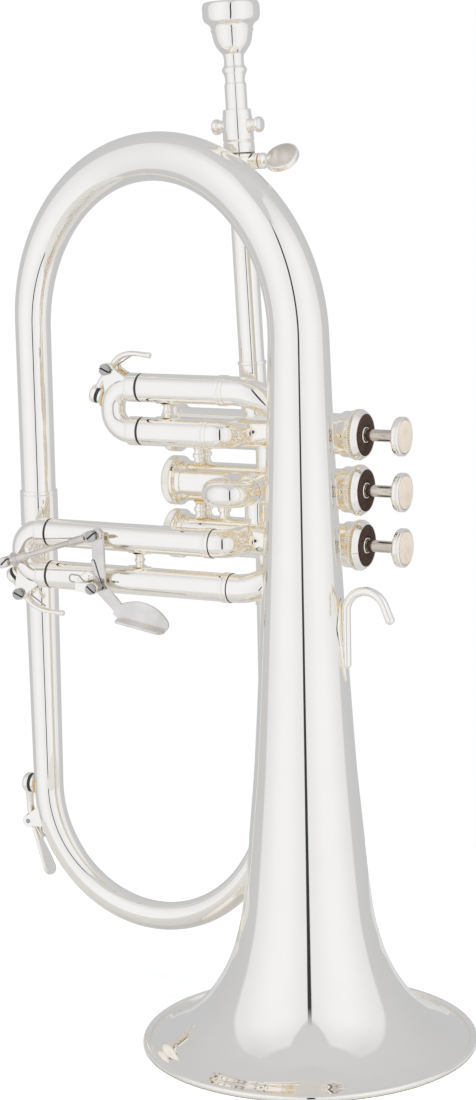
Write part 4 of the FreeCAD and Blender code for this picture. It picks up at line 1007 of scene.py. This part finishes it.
def bow_key():
    pivot = middle("bow_key_pin")
    seat = on_valves(LEG_X - BOW_START_RADIUS + 0.9, 95.0)
    end = pivot + X * 0.6 - Z * 3.0
    tip = pivot + X * 10.4 - Z * 27.2

    def leaf(lever, start, heading):
        run = tip - end
        along = run.normalized()
        length = run.length
        edge = spline([(0.0, 1.5), (length * 0.2, 1.9), (length * 0.45, 3.0), (length * 0.72, 4.4),
                       (length * 0.88, 4.6), (length * 0.97, 3.0), (length, 0.0)], 5)
        outline = edge + [(x, -w) for x, w in reversed(edge[:-1])]
        lever.slab(outline, end, along, Y, 1.9, 0.7)
        tab = softened([(0, -1.2), (6.5, -1.2), (7.2, -0.6), (7.2, 0.6), (6.5, 1.2), (0, 1.2)], 0.3)
        lever.slab(tab, end + X * 1.6, (along * 0.9 + X * 0.12).normalized(), Y, 0.8, 0.25)

    centre = on_valves(BOW_MIDDLE_X, BOW_START_Z)
    cheeks = (centre, BOW_START_Z - BOW_MIDDLE_Z + 4.6, 189.5, 199.5)
    touch = [pivot, end - Z * 0.5, end - Z * 1.0]
    water_key("bow", "bow_key", "horn", seat, -X, 4.5, pivot, cheeks, touch, leaf)
    pin = softened([(0, -4.9), (0.9, -4.9), (1.15, -4.6), (1.15, 4.6), (0.9, 4.9), (0, 4.9)], 0.15)
    axle = Piece().lathe(pin, pivot, Y, 24).coil(pivot - Y * 2.4, Y, 3.1, 0.3, 4, 4.8)
    wire = [pivot + Y * 2.4 + X * 3.1]
    wire += [pivot + X * u - Z * v for u, v in ((5.2, 5.6), (7.4, 8.2), (9.6, 7.8), (10.4, 6.0))]
    axle.tube(smooth_path(wire), 0.32, 10)
    axle.finish("bow_pin_and_wire", ["bow_key_pin"], "horn", "steel")


# ---- trigger of the third slide ----
def xz(x, z, y=0.0):
    return Vector((x, y, z))


LEVER_PIVOT = xz(-105.5, 202.5)
LEVER_TOP = xz(-105.8, 226.8)
ROD_END = xz(-153.8, 211.5)
ROD_Y = -3.2
LEVER_Y = 1.25


def trigger_lever():
    """Upright, arm, paddle with its lip, stop leaf and the screw of the rod."""
    lever = Piece()
    lever.bar(LEVER_PIVOT + Y * LEVER_Y, LEVER_TOP + Y * LEVER_Y, 3.4, 3.1, Y, 1.5, 0.4)
    lever.bar(LEVER_PIVOT + Y * LEVER_Y, xz(-95.5, 192.6, LEVER_Y), 3.3, 2.7, Y, 1.44, 0.4)
    rim = spline([(-98.6, 190.0), (-95.8, 193.6), (-92.0, 195.7), (-84.0, 196.6), (-76.0, 194.2),
                  (-70.6, 189.7), (-69.3, 186.2), (-71.5, 183.2)], 6) + [(-82.0, 184.9), (-95.0, 186.9)]
    lever.slab(rim, Vector((0, LEVER_Y, 0)), X, Z, 1.38, 0.45)
    lip_start, lip_end = xz(-96.6, 187.4), xz(-71.6, 183.2)
    run = (lip_end - lip_start).normalized()
    length = (lip_end - lip_start).length
    shelf = softened([(0, -1.5), (1.2, 2.6), (length - 1.0, 2.6), (length, 0), (length, -2.6),
                      (0, -2.6)], 1.0)
    lever.slab(shelf, lip_start - Y * 0.9, run, -Y, 1.4, 0.45)
    stop_foot = LEVER_PIVOT + Y * (LEVER_Y - 1.1) + X * 0.8
    lever.bar(stop_foot, xz(-108.3, 213.8, LEVER_Y - 1.1), 0.95, 0.95, Y, 0.66, 0.2)
    lever.lathe(softened([(1.1, -5.2), (2.4, -2.3), (2.4, -0.8), (1.1, -0.8)], 0.2),
                Vector((LEVER_TOP.x, 1.2, LEVER_TOP.z)), Y, 32)
    lever.finish("trigger_plate", ["trigger_lever"], "trigger_lever", "satin")
    # painted shadow: a near-black bar just behind the stop leaf, a little wider than it
    shade = Piece().bar(stop_foot + Y * 0.3, xz(-108.3, 213.8, LEVER_Y - 0.8), 1.15, 1.15, Y, 0.3, 0.1)
    shade.finish("stop_leaf_painted_shadow", body="trigger_lever", finish="shade_and_joints")
    top_screw = Piece()
    slotted_screw(top_screw, LEVER_TOP, ROD_Y - 2.9, 2.7, 38, "top_screw", "trigger_lever")
    top_screw.finish("trigger_top_screw", body="trigger_lever", finish="steel")


def trigger_rod():
    """Link with an eye at each end and an adjusting barrel."""
    rod_line = LEVER_TOP - ROD_END
    rod = Piece()
    start = ROD_END + Y * ROD_Y
    heading = Vector((rod_line.x, 0, rod_line.z)).normalized()
    for at, back, front in ((ROD_END, 2.4, 3.0), (LEVER_TOP, 3.8, 2.6)):
        middle_of_eye = at + Y * ROD_Y
        rod.bar(middle_of_eye - heading * back, middle_of_eye + heading * front, 2.5, 2.5, Y, 1.7, 0.35)
    length = rod_line.length
    shape = [(1.2, 2.0), (1.7, 3.0), (2.0, 3.4), (2.0, 6.4), (1.75, 6.7), (2.0, 7.0), (2.0, 12.0),
             (1.3, 12.6), (1.3, length - 13.4), (1.95, length - 13.0), (1.95, length - 4.4),
             (1.2, length - 4.0)]
    rod.lathe(softened(shape, 0.3), start, rod_line, 32)
    rod.finish("trigger_link", ["trigger_rod"], "trigger_rod", "monel")


def rod_post():
    """Post on the slide that carries the rod's left end."""
    lug = Piece()
    foot = spline([(3.6, 0), (2.6, 0.8), (2.2, 1.8), (2.1, 3.5)], 4) + [(2.1, 6.9), (0, 6.9)]
    lug.lathe(foot, ROD_END + Y * 4.8, -Y, 40)
    slotted_screw(lug, ROD_END, ROD_Y - 2.9, 2.4, 42, "rod_screw", "third_slide")
    lug.lathe([(1.1, 0), (1.1, 4)], ROD_END + Y * (ROD_Y - 1.2), Y, 20)
    lug.finish("rod_post", ["rod_lug"], "third_slide", "satin")


def trigger_bracket():
    """Plate and block on the outer tube, and the screw that the lever turns on."""
    bracket = Piece()
    x, z = LEVER_PIVOT.x, LEVER_PIVOT.z
    plate = softened([(x - 9.2, z - 1.7), (x, z - 2.0), (x, z + 2.4), (x - 9.2, z + 2.4),
                      (x - 9.2, z - 1.7)], 0.4)
    bracket.slab(plate[:-1], Vector((0, -5.3, 0)), X, Z, 1.4, 0.35)
    bracket.bar(xz(x - 3, z, -5.3), xz(x, z, -5.3), 2.5, 2.7, Y, 1.46, 0.35)
    block = [(x - 9.0, -5.7), (x - 6.4, -5.7), (x - 6.4, 5.5), (x - 9.0, 5.5)]
    bracket.slab(block, Vector((0, 0, z + 0.35)), X, Y, 3.9, 0.4)
    bracket.saddle(on_slides(x - 7.6, VALVE_Z[2] - PITCH), X, -Y, SLEEVE_OUT, 5.6, 4.4, 0.7)
    bracket.finish("trigger_post", ["trigger_bracket"])
    pivot_screw = Piece()
    slotted_screw(pivot_screw, LEVER_PIVOT, -7.9, 2.6, -38, "pivot_screw", "horn")
    pivot_screw.lathe([(1.1, 0), (1.1, 8.4)], LEVER_PIVOT - Y * 6.0, Y, 20)
    pivot_screw.finish("trigger_pivot_screw", finish="steel")


def trigger_wire():
    """Spring coiled on the pivot screw, with a hooked tail."""
    x, z = LEVER_PIVOT.x, LEVER_PIVOT.z
    curl = Piece().coil(LEVER_PIVOT - Y * 4.3, Y, 1.9, 0.35, 6, 4.4)
    hook_centre = xz(x - 10.4, z + 4.2, -5.6)
    bend = fan(1.8, radians(60), radians(300), 12, (hook_centre.x, hook_centre.z))
    tail = [xz(u, w, hook_centre.y) for u, w in bend]
    lead = smooth_path([LEVER_PIVOT - Y * 4.3 + Z * 1.9, xz(x - 4.5, z + 3.4, -5.6),
                        xz(x - 7.0, z + 5.6, -5.6), tail[0]])
    curl.tube(lead + tail[1:], 0.35, 10)
    curl.finish("trigger_wire_spring", ["trigger_spring"], "horn", "steel")


# ---- finger hook ----
def hook():
    x = 21.2
    bend_z = 200.2
    radius = 9.6
    turn = radians(160)
    foot = xz(x, 176.5)
    top = xz(x, bend_z)
    pivot = top + X * radius
    curve = arc(pivot, -X * radius, Z * radius, 28, turn)
    heading = (curve[-1] - curve[-2]).normalized()
    wire = path_of(line(foot, top, 6), curve, line(curve[-1], curve[-1] + heading * 6.0, 3))
    piece = Piece().tube(wire, 2.0, 32)
    piece.ball(foot, 2.0)
    piece.ball(wire[-1], 2.15)
    rows = []
    low, high, wide_at, half_width = 168.5, 206.0, 192.0, 4.2
    for share, lift in ((1.0, -0.4), (1.0, 0.4), (0.88, 0.85), (0.5, 0.9)):
        row = []
        for a in round_angles(48):
            c, s = cos(a), sin(a)
            size = 1 / (abs(c) ** 1.2 + abs(s) ** 1.2) ** (1 / 1.2)
            reach = high - wide_at if s > 0 else wide_at - low
            z = wide_at + s * size * reach * share
            r = bell_radius(z)
            angle = c * size * half_width * share / r
            row.append(Vector(((r + lift) * cos(angle), (r + lift) * sin(angle), z)))
        rows.append(row)
    piece.rings(rows, False, True)
    piece.finish("little_finger_hook", ["finger_hook"])


bell()
top_bow()
low_bow()
bands()
for i in range(3):
    valve(i)
valve_caps()
knuckles()
for slide in slide_lines():
    outer_tubes(*slide)
    inner_slide(*slide)
second_slide()
braces()
lead_pipe()
mouth_pipe()
mouth_piece()
lock_screw()
slide_key("first", FIRST_CROOK_X, VALVE_Z[0] + PITCH, 1, 163, 8.2,
          ((0, 0), (4.5, 5.0), (9.5, 7.0), (14.0, 7.2), (20.2, 6.6)))
slide_key("third", THIRD_CROOK_X, VALVE_Z[2] - PITCH, -1, 217, 9.8,
          ((0, 0), (4.5, 5.0), (9.5, 7.4), (14.0, 8.2), (20.8, 8.6)))
bow_key()
trigger_lever()
trigger_rod()
rod_post()
trigger_bracket()
trigger_wire()
hook()


# ---- floor, light and camera ----
CAMERA = Vector((485.47, -973.21, 416.54))
CAMERA_RIGHT = Vector((0.88446, 0.46616, -0.02082))
CAMERA_UP = Vector((-0.06200, 0.16162, 0.98490))
LENS = 81.82


def floor():
    """Pale sheet, a little darker in reflections so that undersides keep their shape."""
    rows = [[Vector((radius * cos(a) - 40, radius * sin(a), -0.05)) for a in round_angles(96)]
            for radius in (60, 130, 200, 300)]
    piece = Piece().rings(rows, True, False)
    mesh = bpy.data.meshes.new("floor")
    mesh.from_pydata([p * MM for p in piece.points], [], piece.faces)
    material, tree, shader = new_material("pale_floor", (0.93, 0.93, 0.93), 0.0, 0.8)
    grain = spread(tree, noise(tree, 6, 3), 0, 1)
    seen = blend_colors(tree, grain, (0.955, 0.955, 0.953), (0.97, 0.97, 0.97))
    mirrored = blend_colors(tree, grain, (0.50, 0.50, 0.50), (0.52, 0.52, 0.52))
    camera_ray = add_node(tree, "LightPath").outputs["Is Camera Ray"]
    wire_up(tree, shader, Base_Color=blend_colors(tree, camera_ray, mirrored, seen),
            Specular_IOR_Level=0.0)
    mesh.materials.append(material)
    sheet = bpy.data.objects.new("floor", mesh)
    bpy.context.scene.collection.objects.link(sheet)


def camera():
    data = bpy.data.cameras.new("camera")
    data.lens = LENS
    data.sensor_width = 36.0
    data.clip_start = 0.05
    data.clip_end = 50.0
    seen = bpy.data.objects.new("camera", data)
    bpy.context.scene.collection.objects.link(seen)
    back = CAMERA_RIGHT.cross(CAMERA_UP).normalized()
    up = CAMERA_UP.normalized()
    seen.rotation_mode = "QUATERNION"
    seen.rotation_quaternion = Matrix((up.cross(back), up, back)).transposed().to_quaternion()
    seen.location = CAMERA * MM
    bpy.context.scene.camera = seen


def math_node(tree, operation, *values):
    node = tree.nodes.new("ShaderNodeMath")
    node.operation = operation
    for socket, value in zip(node.inputs, values):
        plug(tree, socket, value)
    return node.outputs[0]


def ramp(tree, value, low, high, to_low=0.0, to_high=1.0):
    """Smooth step of an angle between two limits in degrees."""
    node = add_node(tree, "MapRange", Value=value, From_Min=radians(low), From_Max=radians(high),
                    To_Min=to_low, To_Max=to_high)
    node.interpolation_type = "SMOOTHSTEP"
    return node.outputs["Result"]


# the studio's angles in degrees: turn is counted sideways from the camera, height up from level
GAP = (2.2, 3.4)                # the dark gap between the boxes ends here
BOX_END = (98, 104)
BOX_TOP = 46                    # top edge of the boxes in front; it rises to the sides
BOX_TOP_RISE = 22
BOX_TOP_BLUR = 2.0
ROOM_TINT = (0.995, 1.027, 1.108)   # a little blue, against the warmth of the silver


def room_light(tree):
    """Brightness of the room in every direction: soft boxes, the gap and the room behind."""
    place = add_node(tree, "TexCoord").outputs["Generated"]
    towards = Vector((CAMERA.x, CAMERA.y, 0)).normalized()
    aside = Vector((-towards.y, towards.x, 0))
    parts = []
    for direction in (towards, aside, Z):
        dot = tree.nodes.new("ShaderNodeVectorMath")
        dot.operation = "DOT_PRODUCT"
        dot.inputs[1].default_value = direction
        tree.links.new(place, dot.inputs[0])
        parts.append(dot.outputs["Value"])
    turn = math_node(tree, "ABSOLUTE", math_node(tree, "ARCTAN2", parts[1], parts[0]))
    height = math_node(tree, "ARCSINE", parts[2])

    def times(first, second):
        return math_node(tree, "MULTIPLY", first, second)

    def rest_of(share):
        return math_node(tree, "SUBTRACT", 1.0, share)

    box_level = times(ramp(tree, turn, 0, 40, 0.83, 0.92), ramp(tree, turn, 50, 105, 1.0, 0.86))
    box_level = times(box_level, ramp(tree, height, 38, 68, 1.0, 0.86))
    room_level = times(ramp(tree, height, 0, 80, 0.60, 0.64), ramp(tree, turn, 100, 160, 1.0, 0.95))
    rise = times(ramp(tree, turn, 0, 40), radians(BOX_TOP_RISE))
    above = math_node(tree, "SUBTRACT", height, math_node(tree, "ADD", rise, radians(BOX_TOP)))
    boxes = times(ramp(tree, above, -BOX_TOP_BLUR, BOX_TOP_BLUR, 1.0, 0.0),
                  ramp(tree, turn, *BOX_END, 1.0, 0.0))
    level = math_node(tree, "ADD", times(boxes, box_level), times(rest_of(boxes), room_level))
    dark = times(ramp(tree, turn, *GAP, 1.0, 0.0), ramp(tree, height, 38, 52, 1.0, 0.0))
    return times(level, rest_of(times(dark, 0.95)))


def studio():
    """Two tall soft boxes in front, a dimmer room behind, white where the camera sees past."""
    scene = bpy.context.scene
    world = bpy.data.worlds.new("studio")
    scene.world = world
    world.use_nodes = True
    tree = world.node_tree
    tint = tree.nodes.new("ShaderNodeVectorMath")
    tint.operation = "SCALE"
    tint.inputs[0].default_value = ROOM_TINT
    tree.links.new(room_light(tree), tint.inputs["Scale"])
    background = wire_up(tree, tree.nodes["Background"], Color=tint.outputs["Vector"])
    white = add_node(tree, "Background", Color=(1, 1, 1, 1))
    camera_ray = add_node(tree, "LightPath").outputs["Is Camera Ray"]
    mix = tree.nodes.new("ShaderNodeMixShader")
    for socket, source in zip(mix.inputs, (camera_ray, background.outputs[0], white.outputs[0])):
        tree.links.new(source, socket)
    wire_up(tree, tree.nodes["World Output"], Surface=mix.outputs[0])
    lamp_data = bpy.data.lights.new("overhead", "AREA")
    lamp_data.shape = "DISK"
    lamp_data.size = 2.4
    lamp_data.energy = 45
    lamp = bpy.data.objects.new("overhead", lamp_data)
    lamp.location = (0.2, -0.3, 2.0)
    lamp.visible_glossy = False
    scene.collection.objects.link(lamp)
    scene.view_settings.view_transform = "Standard"
    scene.cycles.max_bounces = 16
    scene.cycles.glossy_bounces = 14


floor()
camera()
studio()
